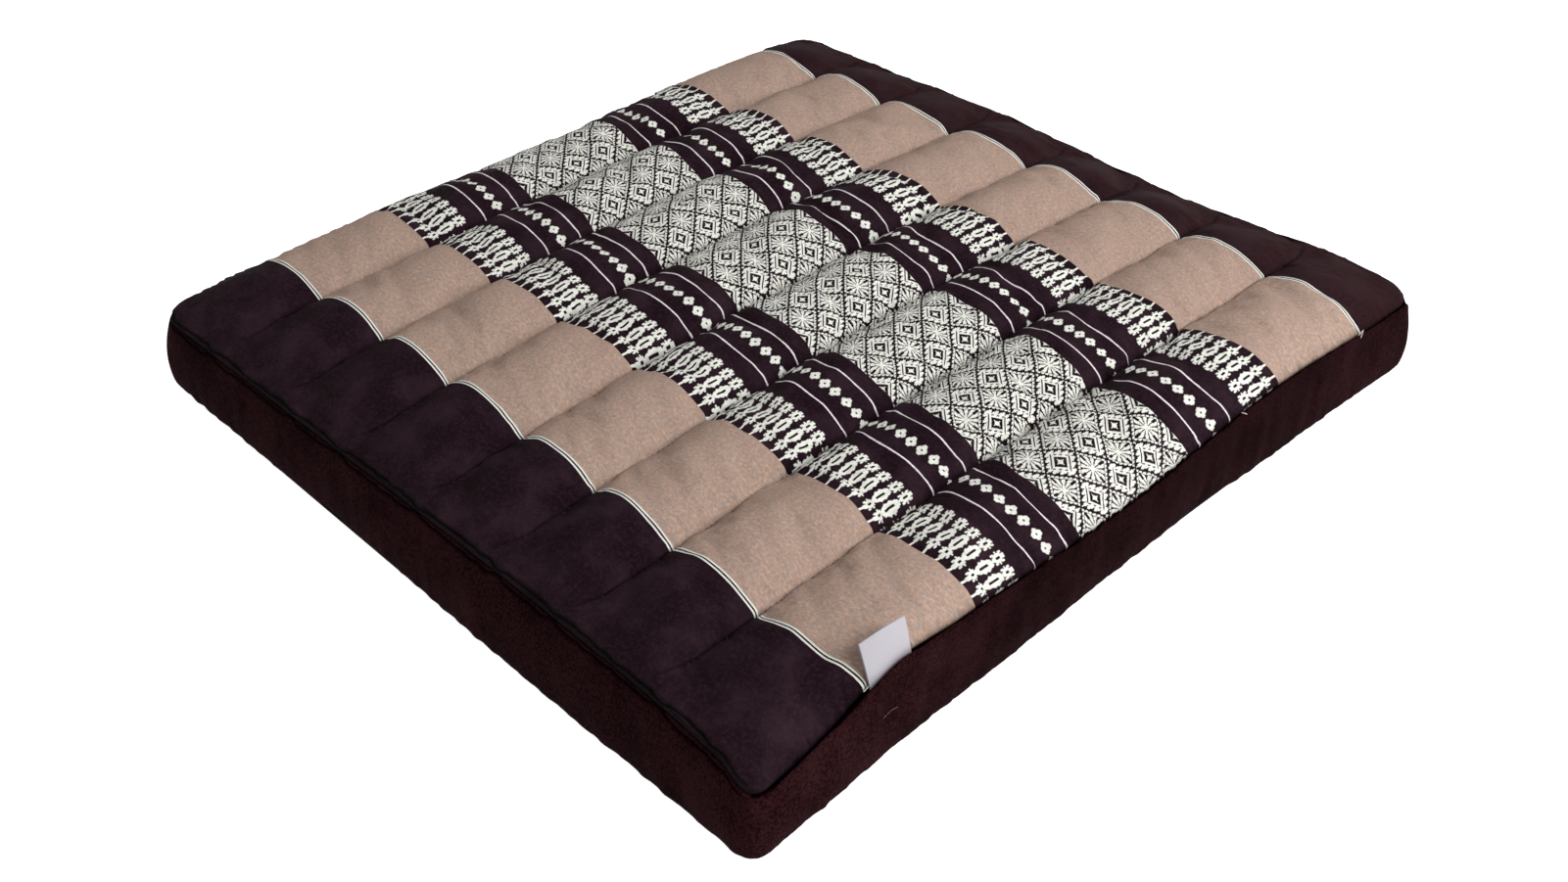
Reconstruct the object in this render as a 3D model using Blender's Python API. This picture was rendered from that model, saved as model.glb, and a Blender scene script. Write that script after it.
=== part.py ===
"""A square floor cushion for meditation, sewn into eight filled channels.

Metres, +Z up. The origin is on the floor under the middle of the cushion. X runs across the channels and Y
runs along them. The cushion is one filled body under its top panel, a strip of cloth round its four walls,
a flat cloth underneath, and a small folded tab in the top seam of the +X wall.
"""

from collections import namedtuple

import bpy
import numpy as np

# Driving sizes
WIDTH = 0.503  # across the channels, from top seam to top seam
DEPTH = 0.528  # along the channels, from top seam to top seam
SEAM_HEIGHT = 0.050  # floor to top seam
CORNER_RADIUS = 0.020  # of three corners, seen from above
TIGHT_RADIUS = 0.010  # of the corner between +X and -Y
CLOTH = 0.0015  # thickness of a layer of cloth
GAP = 0.0003  # between pieces
STRIP_GAP = 0.00050  # round the side strip, where two twisted facets may lean towards each other

# Crown of the top panel
RISE = 0.0040  # from the top seam to the sewn valleys, just inside the rim
CROWN = 0.0121  # further rise of the valleys from the rim to the middle
SIDE_RIM = 0.038  # how far in from a side seam the cloth is still rounding over
END_RIM = 0.052  # the same, from the seam across the channels' ends
PUFF_ROUNDNESS = 2.20  # 2 is a parabola between two valleys; more is fuller
PUFF_AT_END = 0.72  # share of a channel's puff that is left at its two ends
PUFF_FADE = 0.048  # how far in from an end seam the puff dies out

# Each channel, from -X to +X: its width between seams and how far it puffs above its valleys.
Channel = namedtuple("Channel", "width puff")
CHANNELS = (
    Channel(width=0.0685, puff=0.0111),
    Channel(width=0.0627, puff=0.0117),
    Channel(width=0.0626, puff=0.0119),
    Channel(width=0.0657, puff=0.0123),
    Channel(width=0.0596, puff=0.0119),
    Channel(width=0.0596, puff=0.0117),
    Channel(width=0.0597, puff=0.0119),
    Channel(width=0.0646, puff=0.0113),
)

# Each seam outline: how far its sides and its ends pull in between the corners, and how far it spreads.
Outline = namedtuple("Outline", "side_draw end_draw spread")
TOP_OUTLINE = Outline(side_draw=0.0025, end_draw=0.0032, spread=0.0)
BASE_OUTLINE = Outline(side_draw=0.0074, end_draw=-0.0008, spread=0.0039)
WALL_BULGE = 0.0044  # of the walls, half way up
FOOT_ROLL = 0.0060  # radius of the walls' turn towards the base seam
BASE_INSET = 0.0020  # of the base panel's edge from the base outline

# The top seam rises and falls along each wall: how much, the length of one wave, and where a crest is.
Wave = namedtuple("Wave", "height length crest")
WAVES = {
    "+X": Wave(height=0.0040, length=0.27, crest=-0.15),
    "-X": Wave(height=0.0012, length=0.24, crest=0.13),
    "+Y": Wave(height=0.0025, length=0.29, crest=-0.06),
    "-Y": Wave(height=0.0029, length=0.60, crest=0.15),
}
WAVE_REACH = 0.055  # how far in from the seam its waves are felt

# Single rises and dips of the +X seam: how much, the place of the middle, and how far it is felt in X and Y.
Lift = namedtuple("Lift", "height y reach_x reach_y")
LIFTS = (
    Lift(height=0.0045, y=-0.176, reach_x=0.030, reach_y=0.045),  # pushed up behind the tab
    Lift(height=-0.0090, y=-0.252, reach_x=0.020, reach_y=0.075),  # sagging to the tight corner
)

# Folded tab in the +X top seam
TAB_FROM, TAB_TO = -0.1928, -0.1664  # along the seam
TAB_HEIGHT_FROM, TAB_HEIGHT_TO = 0.0222, 0.0195  # at each end
TAB_THICKNESS = 0.0010
TAB_LEAN_FROM, TAB_LEAN_TO = 0.0050, 0.0026  # inwards at its top, at each end
TAB_CURL = 0.0008  # hollow of the tab along its length
TAB_CLEARANCE = 0.00035  # from the edge of the top panel

# Mesh density
CHANNEL_STEPS = 6
EDGE_COLUMNS = (0.0025, 0.0065)  # more columns, this far in from each side seam
ROW_STEPS = 28
WALL_STEPS = 4
TAB_STEPS_ALONG, TAB_STEPS_UP = 6, 5


def smooth_step(t):
    """0 below t = 0, 1 above t = 1, and 3t^2 - 2t^3 between."""
    t = np.clip(t, 0.0, 1.0)
    return t * t * (3.0 - 2.0 * t)


def rim(distance, reach):
    """Quarter ellipse: 0 at the seam, upright there, and level at 1 from reach inwards."""
    short = np.clip(1.0 - distance / reach, 0.0, 1.0)
    return np.sqrt(1.0 - short * short)


def channel_seams():
    """X of every seam, from the -X wall to the +X wall."""
    widths = [channel.width for channel in CHANNELS]
    return np.concatenate([[0.0], np.cumsum(widths)]) - WIDTH / 2


def seam_height(x, y):
    """Height of the top seam: a cosine along each wall, each felt only near its own wall, and the lifts, each
    full at its middle on the +X seam and smoothly gone at an ellipse of its reaches."""
    distances = {"+X": WIDTH / 2 - x, "-X": WIDTH / 2 + x, "+Y": DEPTH / 2 - y, "-Y": DEPTH / 2 + y}
    height = SEAM_HEIGHT
    for wall, wave in WAVES.items():
        along = y if "X" in wall else x
        turns = (along - wave.crest) / wave.length
        near = smooth_step(1.0 - distances[wall] / WAVE_REACH)
        height = height + wave.height * np.cos(2.0 * np.pi * turns) * near
    for lift in LIFTS:
        away = np.hypot((WIDTH / 2 - x) / lift.reach_x, (y - lift.y) / lift.reach_y)
        height = height + lift.height * smooth_step(1.0 - away)
    return height


def top_height(x, y):
    """Height of the top panel: seam, rim times rise and crown, and the puff of the channel that x is in."""
    half_x, half_y = WIDTH / 2, DEPTH / 2
    valley = rim(half_x - np.abs(x), SIDE_RIM) * rim(half_y - np.abs(y), END_RIM)
    crown = CROWN * (1.0 - (x / half_x) ** 2) * (1.0 - (y / half_y) ** 2)
    seams = channel_seams()
    index = np.clip(np.searchsorted(seams, x, side="right") - 1, 0, len(CHANNELS) - 1)
    across = (x - seams[index]) / (seams[index + 1] - seams[index])
    puffs = np.array([channel.puff for channel in CHANNELS])
    puff = puffs[index] * (1.0 - np.abs(2.0 * across - 1.0) ** PUFF_ROUNDNESS)
    puff *= 1.0 - (1.0 - PUFF_AT_END) * (y / half_y) ** 2
    puff *= smooth_step((half_y - np.abs(y)) / PUFF_FADE)
    return seam_height(x, y) + valley * (RISE + crown) + puff


def plan(x, y, outline):
    """Rounds the flat panel's corners, spreads it and pulls its sides and ends in between the corners."""
    half_x, half_y = WIDTH / 2, DEPTH / 2
    radius = np.where((x > 0.0) & (y < 0.0), TIGHT_RADIUS, CORNER_RADIUS)
    flat_x, flat_y = half_x - radius, half_y - radius
    over_x = np.clip(np.abs(x) - flat_x, 0.0, None)
    over_y = np.clip(np.abs(y) - flat_y, 0.0, None)
    reach = np.hypot(over_x, over_y)
    shrink = np.maximum(over_x, over_y) / np.where(reach > 0.0, reach, 1.0)
    round_x = np.sign(x) * (np.minimum(np.abs(x), flat_x) + over_x * shrink)
    round_y = np.sign(y) * (np.minimum(np.abs(y), flat_y) + over_y * shrink)
    share_x, share_y = round_x / half_x, round_y / half_y
    drawn_x = round_x - outline.side_draw * share_x * (1.0 - share_y**2)
    drawn_y = round_y - outline.end_draw * share_y * (1.0 - share_x**2)
    return drawn_x + outline.spread * share_x, drawn_y + outline.spread * share_y


def panel_grid():
    """Flat X and Y of the top panel's grid: even steps in each channel, more columns near the sides, and rows
    that crowd at the ends."""
    seams = channel_seams()
    steps = np.arange(CHANNEL_STEPS) / CHANNEL_STEPS
    x = (seams[:-1, None] + steps * np.diff(seams)[:, None]).ravel()
    edge = WIDTH / 2 - np.array([0.0, *EDGE_COLUMNS])
    x = np.sort(np.concatenate([x, edge, -edge[1:]]))
    y = DEPTH / 2 * np.sin(np.linspace(-np.pi / 2, np.pi / 2, ROW_STEPS + 1))
    return np.meshgrid(x, y, indexing="ij")


def border_of(grid):
    """The grid's edge as one loop, counter-clockwise seen from above, from the -X -Y corner."""
    return np.concatenate([grid[:-1, 0], grid[-1, :-1], grid[:0:-1, -1], grid[0, :0:-1]])


def outward(x, y):
    """Mitres of a counter-clockwise loop, pointing out: moved by d along them, each side moves by d."""
    step = np.stack([np.roll(x, -1) - x, np.roll(y, -1) - y])
    step /= np.hypot(*step)
    normal = np.stack([step[1], -step[0]])
    before = np.roll(normal, 1, axis=1)
    return (normal + before) / (1.0 + np.sum(normal * before, axis=0))


def wall_push(height):
    """How far the wall stands out at a height: a parabola between the seams, less its roll to the base."""
    share = height / SEAM_HEIGHT
    below = np.clip(FOOT_ROLL - height, 0.0, None)
    roll = FOOT_ROLL - np.sqrt(FOOT_ROLL**2 - below**2)
    return WALL_BULGE * 4.0 * share * (1.0 - share) - roll


def wall_ring(share, inset, lowest=CLOTH + GAP, drop=CLOTH + GAP):
    """Loop of points round the wall, where share runs from 0 at lowest to 1 at drop under the top seam.
    The top and base outlines are mixed by height, pushed out by wall_push and moved in by inset."""
    flat_x, flat_y = (border_of(flat) for flat in panel_grid())
    height = lowest + share * (seam_height(flat_x, flat_y) - drop - lowest)
    top = np.array(plan(flat_x, flat_y, TOP_OUTLINE))
    base = np.array(plan(flat_x, flat_y, BASE_OUTLINE))
    mix = height / seam_height(flat_x, flat_y)
    x, y = mix * top + (1.0 - mix) * base
    normal_x, normal_y = outward(x, y)
    push = wall_push(mix * SEAM_HEIGHT) - inset
    return np.stack([x + push * normal_x, y + push * normal_y, height], axis=1)


def grid_faces(index):
    """Quads of a grid of vertices, facing up where its first axis is X and its second is Y."""
    corners = [index[:-1, :-1], index[1:, :-1], index[1:, 1:], index[:-1, 1:]]
    return np.stack(corners, axis=2).reshape(-1, 4)


def between(first, second, count):
    """Quads from one ring of vertices down, or in, to the next. Each ring is given by its first vertex."""
    here = np.arange(count)
    after = (here + 1) % count
    return np.stack([first + here, second + here, second + after, first + after], axis=1)


def material(name, colour, roughness):
    """A plain cloth finish."""
    made = bpy.data.materials.new(name)
    made.use_nodes = True
    shader = made.node_tree.nodes["Principled BSDF"]
    shader.inputs["Base Color"].default_value = (*colour, 1.0)
    shader.inputs["Roughness"].default_value = roughness
    shader.inputs["Metallic"].default_value = 0.0
    return made


def add_object(name, vertices, faces, finish):
    """One named object from points and faces, shaded smooth except across its sharp edges."""
    mesh = bpy.data.meshes.new(name)
    mesh.from_pydata(np.asarray(vertices).tolist(), [], faces)
    mesh.materials.append(finish)
    mesh.shade_smooth()
    mesh.set_sharp_from_angle(angle=np.radians(50.0))
    made = bpy.data.objects.new(name, mesh)
    bpy.context.scene.collection.objects.link(made)
    return made


def filled_body():
    """The top panel over its filling: crown and channels above, and sides that sit inside the strip."""
    flat_x, flat_y = panel_grid()
    x, y = plan(flat_x, flat_y, TOP_OUTLINE)
    top = np.stack([x, y, top_height(flat_x, flat_y)], axis=2)
    columns, rows = flat_x.shape
    index = np.arange(columns * rows).reshape(columns, rows)
    loop = border_of(index)
    count = len(loop)

    inset = CLOTH + STRIP_GAP
    rings = [wall_ring(1.0, 0.0, drop=CLOTH), wall_ring(1.0, inset, drop=CLOTH)]
    rings += [wall_ring(share, inset) for share in np.linspace(1.0, 0.0, WALL_STEPS + 1)]
    firsts = columns * rows + count * np.arange(len(rings))
    below = firsts[0] + np.arange(count)
    after = np.roll(np.arange(count), -1)
    faces = [grid_faces(index), np.stack([loop, below, below[after], loop[after]], axis=1)]
    faces += [between(upper, lower, count) for upper, lower in zip(firsts, firsts[1:])]
    underside = (firsts[-1] + np.arange(count))[::-1]
    vertices = np.concatenate([top.reshape(-1, 3), *rings])
    faces = np.concatenate(faces).tolist() + [underside.tolist()]
    finish = material("woven_panel", (0.36, 0.30, 0.26), 0.85)
    return add_object("filled_body", vertices, faces, finish)


def side_strip():
    """One closed ring of cloth round the body, from just above the base panel to just under the top edge."""
    shares = np.linspace(1.0, 0.0, WALL_STEPS + 1)
    drop = CLOTH + STRIP_GAP
    outer = [wall_ring(share, 0.0, drop=drop) for share in shares]
    inner = [wall_ring(share, CLOTH, drop=drop) for share in shares[::-1]]
    rings = outer + inner
    count = len(rings[0])
    firsts = count * np.arange(len(rings))
    faces = [between(here, after, count) for here, after in zip(firsts, np.roll(firsts, -1))]
    finish = material("wall_cloth", (0.030, 0.012, 0.011), 0.9)
    return add_object("side_strip", np.concatenate(rings), np.concatenate(faces).tolist(), finish)


def base_panel():
    """The flat cloth underneath, on which the cushion rests."""
    edge = wall_ring(0.0, BASE_INSET - FOOT_ROLL, lowest=0.0)
    lifted = edge + (0.0, 0.0, CLOTH)
    count = len(edge)
    upper = np.arange(count)
    faces = between(0, count, count).tolist() + [upper.tolist(), (count + upper)[::-1].tolist()]
    finish = material("base_cloth", (0.020, 0.015, 0.018), 0.9)
    return add_object("base_panel", np.concatenate([lifted, edge]), faces, finish)


def label_tab():
    """A folded tab that stands up from the +X top seam and leans a little inwards."""
    along = np.linspace(0.0, 1.0, TAB_STEPS_ALONG + 1)
    up = np.linspace(0.0, 1.0, TAB_STEPS_UP + 1)
    along, up = np.meshgrid(along, up, indexing="ij")
    y = TAB_FROM + (TAB_TO - TAB_FROM) * along
    lean = (TAB_LEAN_FROM + (TAB_LEAN_TO - TAB_LEAN_FROM) * along) * up**1.5
    curl = TAB_CURL * 4.0 * along * (1.0 - along) * up
    wall_x = np.full_like(y, WIDTH / 2)
    seam_x = plan(wall_x, y, TOP_OUTLINE)[0] + wall_push(SEAM_HEIGHT - CLOTH)
    inner_x = seam_x + TAB_CLEARANCE - lean + curl
    height = TAB_HEIGHT_FROM + (TAB_HEIGHT_TO - TAB_HEIGHT_FROM) * along
    z = seam_height(wall_x, y) - CLOTH + height * up
    inner = np.stack([inner_x, y, z], axis=2)
    outer = inner + (TAB_THICKNESS, 0.0, 0.0)
    columns, rows = along.shape
    index = np.arange(columns * rows).reshape(columns, rows)
    sheet = grid_faces(index)
    loop = border_of(index)
    far = columns * rows
    after = np.roll(loop, -1)
    edge = np.stack([loop + far, loop, after, after + far], axis=1)
    faces = np.concatenate([sheet + far, sheet[:, ::-1], edge]).tolist()
    vertices = np.concatenate([inner.reshape(-1, 3), outer.reshape(-1, 3)])
    finish = material("tab_satin", (0.85, 0.85, 0.88), 0.5)
    return add_object("label_tab", vertices, faces, finish)


def main():
    for old in list(bpy.data.objects):
        bpy.data.objects.remove(old)
    filled_body()
    side_strip()
    base_panel()
    label_tab()


main()
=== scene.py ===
"""Channelled floor cushion, laid out as a Blender add-on and run as a script.

Metres, +Z up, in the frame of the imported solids: X runs across the eight sewn channels and Y along them. Each
operator makes one piece, or one group of like pieces, as surfaces worked out with numpy on a grid of two
parameters. The sizes at the top repeat those of the solids, so every piece lies where its solid lies.
"""

from collections import namedtuple
from functools import partialmethod

import bpy
import numpy as np
from bpy.props import FloatProperty, FloatVectorProperty, IntProperty, PointerProperty
from bpy.types import Operator, Panel, PropertyGroup
from mathutils import Matrix, Vector


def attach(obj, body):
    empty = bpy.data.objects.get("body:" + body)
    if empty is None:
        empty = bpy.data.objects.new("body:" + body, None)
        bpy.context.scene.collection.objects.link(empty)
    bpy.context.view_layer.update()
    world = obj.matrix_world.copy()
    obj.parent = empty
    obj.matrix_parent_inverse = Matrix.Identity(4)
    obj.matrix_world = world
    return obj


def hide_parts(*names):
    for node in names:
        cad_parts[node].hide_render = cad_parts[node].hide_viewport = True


bl_info = {
    "name": "Channelled Floor Cushion",
    "version": (1, 0, 0),
    "blender": (4, 5, 0),
    "location": "3D View > Sidebar > Cushion",
    "description": "Makes the cloth, stitching and tab of a sewn and filled floor cushion",
    "category": "Add Mesh",
}

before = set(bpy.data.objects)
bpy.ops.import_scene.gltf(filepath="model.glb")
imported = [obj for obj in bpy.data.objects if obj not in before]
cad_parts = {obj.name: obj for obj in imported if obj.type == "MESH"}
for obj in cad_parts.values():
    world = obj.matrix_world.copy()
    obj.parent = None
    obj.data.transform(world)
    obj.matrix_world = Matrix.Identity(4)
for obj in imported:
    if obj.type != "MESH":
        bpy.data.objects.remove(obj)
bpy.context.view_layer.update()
BODY = "root"

# Sizes of the solids
WIDTH = 0.503  # across the channels, from top seam to top seam
DEPTH = 0.528  # along the channels, from top seam to top seam
SEAM_HEIGHT = 0.050
CORNER_RADIUS = 0.020
TIGHT_RADIUS = 0.010  # between +X and -Y
CLOTH = 0.0015
GAP = 0.0003
STRIP_GAP = 0.00050
RISE = 0.0040
CROWN = 0.0121
SIDE_RIM = 0.038
END_RIM = 0.052
PUFF_ROUNDNESS = 2.20
PUFF_AT_END = 0.72
PUFF_FADE = 0.048

Channel = namedtuple("Channel", "width puff")
CHANNELS = (
    Channel(width=0.0685, puff=0.0111),
    Channel(width=0.0627, puff=0.0117),
    Channel(width=0.0626, puff=0.0119),
    Channel(width=0.0657, puff=0.0123),
    Channel(width=0.0596, puff=0.0119),
    Channel(width=0.0596, puff=0.0117),
    Channel(width=0.0597, puff=0.0119),
    Channel(width=0.0646, puff=0.0113),
)

Outline = namedtuple("Outline", "side_draw end_draw spread")
TOP_OUTLINE = Outline(side_draw=0.0025, end_draw=0.0032, spread=0.0)
BASE_OUTLINE = Outline(side_draw=0.0074, end_draw=-0.0008, spread=0.0039)
WALL_BULGE = 0.0044
FOOT_ROLL = 0.0060
BASE_INSET = 0.0020

Wave = namedtuple("Wave", "height length crest")
WAVES = {
    "+X": Wave(height=0.0040, length=0.27, crest=-0.15),
    "-X": Wave(height=0.0012, length=0.24, crest=0.13),
    "+Y": Wave(height=0.0025, length=0.29, crest=-0.06),
    "-Y": Wave(height=0.0029, length=0.60, crest=0.15),
}
WAVE_REACH = 0.055

Lift = namedtuple("Lift", "height y reach_x reach_y")
LIFTS = (
    Lift(height=0.0045, y=-0.176, reach_x=0.030, reach_y=0.045),
    Lift(height=-0.0090, y=-0.252, reach_x=0.020, reach_y=0.075),
)

TAB_FROM, TAB_TO = -0.1928, -0.1664
TAB_HEIGHT_FROM, TAB_HEIGHT_TO = 0.0222, 0.0195
TAB_THICKNESS = 0.0010
TAB_LEAN_FROM, TAB_LEAN_TO = 0.0050, 0.0026
TAB_CURL = 0.0008
TAB_CLEARANCE = 0.00035
TAB_EXTRA_LEAN = 0.0022  # of the cloth, past the solid's
RIBBON = 0.00030  # thickness
FOLD_RADIUS = 0.00035

# How the loose side strip hangs: bells of a push, outwards, along a wall
Bulge = namedtuple("Bulge", "wall middle reach push")
BULGES = (
    Bulge(wall="+X", middle=-0.092, reach=0.055, push=0.0017),
    Bulge(wall="+X", middle=0.060, reach=0.024, push=-0.0016),
    Bulge(wall="+X", middle=0.062, reach=0.0035, push=-0.0011),
    Bulge(wall="+X", middle=0.130, reach=0.045, push=0.0010),
    Bulge(wall="-X", middle=0.100, reach=0.050, push=0.0014),
    Bulge(wall="-Y", middle=-0.060, reach=0.045, push=-0.0014),
    Bulge(wall="-Y", middle=0.110, reach=0.070, push=0.0008),
)
# Seams along the ends: a welt between two grooves, which meet at a pinch by each channel seam
TOP_GROOVE = 0.0017  # from the edge to the groove in the top
STRIP_GROOVE = 0.0034  # from the edge to the groove in the strip
PINCH_REACH = 0.0050
# The strip's seam allowance stands up as a roll along the +X seam: how far out of the wall and up the cloth
# lies, by its distance from the strip's top edge.
ROLL_UNDER = (0.0, 0.0009, 0.0018, 0.0027, 0.0036, 0.0048, 0.0060, 0.0120, 0.0200)
ROLL_OUT = (0.0, 0.0015, 0.0018, 0.0020, 0.0027, 0.0031, 0.0029, 0.0014, 0.0)
ROLL_UP = (0.0, 0.0012, 0.0043, 0.0067, 0.0075, 0.0066, 0.0045, 0.0018, 0.0)
ROLL_MIDDLE = -0.180  # where it reaches furthest out, by the tab
ROLL_LEAST = 0.55  # share of that reach that is left away from the tab

# The body's own sides, behind the strip
SEAM_TUCK = 0.0007  # how far in from the seam they start
SIDES_SHARE = 0.03  # of the bake map's height
HIDDEN_SHADE = 0.15

# Density of the grids
CHANNEL_STEPS = 36
CHANNEL_CROWDING = 0.66  # 0 spaces the columns evenly, 1 lets them meet in the creases
ROW_STEPS = 288
ROW_CROWDING = 0.35  # 0 spaces the rows evenly, 1 as the sine of even steps
END_ROWS = (0.0004, 0.0008, 0.0015, 0.0019, 0.0026, 0.0036)  # more rows, this far from the ends
STRIP_TOP_ROWS = (0.0, 0.0003, 0.0008, 0.0013, 0.0018, 0.0023, 0.0028, 0.0033, 0.0038, 0.0043, 0.0050, 0.0060)
WALL_STEPS = 14  # below them
SEAM_PITCH = 0.062  # sets each crease's noise apart from the next one's
EDGE = 1e-6  # nearer than this to a wall is on it
COVER_CHANNEL_STEPS, COVER_ROW_STEPS = 14, 150  # of the cover that the simulation moves
TAB_COLUMNS, TAB_ROWS = 16, 20

# The woven pattern, in threads: a flower and a ring share each repeat of the lattice.
PETALS = 12
REPEATS = 3  # of the lattice in a channel
THREADS = 44  # in a repeat, each way
LATTICE_EDGE = 0.0430  # from the middle of the cushion
ROW_REPEAT = 0.0215  # length of a repeat
THIN_LINES = (0.0535, 0.0780)
DOTTED_ROW = 0.06575  # middle of the row of small diamonds
FIGURE_EDGE = 0.1209  # where the figures stand on the beige
STRIPES = (0.1996, 0.2013)  # the pair of lines past the beige
PICK = 0.00094  # height of a row in a figure or diamond

# Half of a standing figure, from its middle outwards, and from its foot on the beige up: stem, lower flower,
# bead and upper flower.
FIGURE = (
    ("#.....",) * 4
    + ("##....", "##....", "##.##.", "#####.", ".###..", ".#####", "####..", "##....")
    + ("###...", "####..", ".###..", ".####.", ".#####", ".####.")
    + (".####.", ".#####", ".####.", "####..", "####..", "###...")
    + ("#.....", "##.##.", "#####.", ".###..", ".#####", ".###..", "#####.", "##.##.", "##....")
)
DIAMOND = ("##....", "###...", "#####.", ".#####", "#####.", "###...", "##....")
FIGURE_CORE = 0.15  # threads by which a figure's middle column is wider, each way
FIGURE_REPEAT = 44.9  # threads from one group of figures to the next
FIGURE_START = 8.7  # threads from the first wide gap to the first seam
FIGURE_PLACES = (8.0, 22.45)  # threads from the wide gap to the figures
DRAWN_MIDDLE, DRAWN_REACH = 3.0, 5.2  # channels to the middle of the drawn-in lines, and on to no pull

# Noise in the plain cloth: how fast it changes with channels across and metres along, and where it shows
Speckle = namedtuple("Speckle", "tint across along seed scale detail roughness low high share")
MEAN_CHANNEL = WIDTH / len(CHANNELS)
BEIGE_SPECKLES = (
    Speckle("beige_cool", 0.07, 0.80, 7.0, 190.0, 5.0, 0.70, low=0.38, high=0.66, share=1.0),
    Speckle("beige_warm", 0.05, 0.95, 1.0, 640.0, 4.0, 0.75, low=0.42, high=0.66, share=0.7),
    Speckle("beige_fleck", 0.06, 1.0, 9.0, 440.0, 4.0, 0.75, low=0.46, high=0.68, share=0.7),
)
DARK_SPECKLES = (
    Speckle("dark_worn", MEAN_CHANNEL, 1.0, 0.0, 45.0, 3.0, 0.6, low=0.35, high=0.75, share=0.45),
    Speckle("dark_worn", MEAN_CHANNEL, 1.0, 0.0, 500.0, 5.0, 0.8, low=0.42, high=0.85, share=0.8),
)


# --------------------------------------------------------------------------- form of the solids


def smooth_step(t):
    """0 below t = 0, 1 above t = 1, and 3t^2 - 2t^3 between."""
    t = np.clip(t, 0.0, 1.0)
    return t * t * (3.0 - 2.0 * t)


def rim(distance, reach):
    """Quarter ellipse: 0 at the seam, upright there, and level at 1 from reach inwards."""
    short = np.clip(1.0 - distance / reach, 0.0, 1.0)
    return np.sqrt(1.0 - short * short)


def channel_seams():
    """X of every seam, from the -X wall to the +X wall."""
    widths = [channel.width for channel in CHANNELS]
    return np.concatenate([[0.0], np.cumsum(widths)]) - WIDTH / 2


def seam_height(x, y):
    """Height of the top seam: a cosine along each wall, each felt only near its own wall, and the lifts, each
    full at its middle on the +X seam and smoothly gone at an ellipse of its reaches."""
    distances = {"+X": WIDTH / 2 - x, "-X": WIDTH / 2 + x, "+Y": DEPTH / 2 - y, "-Y": DEPTH / 2 + y}
    height = SEAM_HEIGHT
    for wall, wave in WAVES.items():
        along = y if "X" in wall else x
        turns = (along - wave.crest) / wave.length
        near = smooth_step(1.0 - distances[wall] / WAVE_REACH)
        height = height + wave.height * np.cos(2.0 * np.pi * turns) * near
    for lift in LIFTS:
        away = np.hypot((WIDTH / 2 - x) / lift.reach_x, (y - lift.y) / lift.reach_y)
        height = height + lift.height * smooth_step(1.0 - away)
    return height


def across_channel(x):
    """Which channel x is in, and the share of that channel's width that lies behind x."""
    seams = channel_seams()
    index = np.clip(np.searchsorted(seams, x, side="right") - 1, 0, len(CHANNELS) - 1)
    return index, (x - seams[index]) / (seams[index + 1] - seams[index])


def top_height(x, y):
    """Height of the top panel: seam, rim times rise and crown, and the puff of the channel that x is in."""
    half_x, half_y = WIDTH / 2, DEPTH / 2
    valley = rim(half_x - np.abs(x), SIDE_RIM) * rim(half_y - np.abs(y), END_RIM)
    crown = CROWN * (1.0 - (x / half_x) ** 2) * (1.0 - (y / half_y) ** 2)
    index, across = across_channel(x)
    puffs = np.array([channel.puff for channel in CHANNELS])
    puff = puffs[index] * (1.0 - np.abs(2.0 * across - 1.0) ** PUFF_ROUNDNESS)
    puff *= 1.0 - (1.0 - PUFF_AT_END) * (y / half_y) ** 2
    puff *= smooth_step((half_y - np.abs(y)) / PUFF_FADE)
    return seam_height(x, y) + valley * (RISE + crown) + puff


def plan(x, y, outline):
    """Rounds the flat panel's corners, spreads it and pulls its sides and ends in between the corners."""
    half_x, half_y = WIDTH / 2, DEPTH / 2
    radius = np.where((x > 0.0) & (y < 0.0), TIGHT_RADIUS, CORNER_RADIUS)
    flat_x, flat_y = half_x - radius, half_y - radius
    over_x = np.clip(np.abs(x) - flat_x, 0.0, None)
    over_y = np.clip(np.abs(y) - flat_y, 0.0, None)
    reach = np.hypot(over_x, over_y)
    shrink = np.maximum(over_x, over_y) / np.where(reach > 0.0, reach, 1.0)
    round_x = np.sign(x) * (np.minimum(np.abs(x), flat_x) + over_x * shrink)
    round_y = np.sign(y) * (np.minimum(np.abs(y), flat_y) + over_y * shrink)
    share_x, share_y = round_x / half_x, round_y / half_y
    drawn_x = round_x - outline.side_draw * share_x * (1.0 - share_y**2)
    drawn_y = round_y - outline.end_draw * share_y * (1.0 - share_x**2)
    return drawn_x + outline.spread * share_x, drawn_y + outline.spread * share_y


def outward(x, y):
    """Mitres of a counter-clockwise loop, pointing out: moved by d along them, each side moves by d."""
    step = np.stack([np.roll(x, -1) - x, np.roll(y, -1) - y])
    step /= np.hypot(*step)
    normal = np.stack([step[1], -step[0]])
    before = np.roll(normal, 1, axis=1)
    return (normal + before) / (1.0 + np.sum(normal * before, axis=0))


def wall_push(height):
    """How far the wall stands out at a height: a parabola between the seams, less its roll to the base."""
    share = height / SEAM_HEIGHT
    below = np.clip(FOOT_ROLL - height, 0.0, None)
    roll = FOOT_ROLL - np.sqrt(FOOT_ROLL**2 - below**2)
    return WALL_BULGE * 4.0 * share * (1.0 - share) - roll


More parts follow.
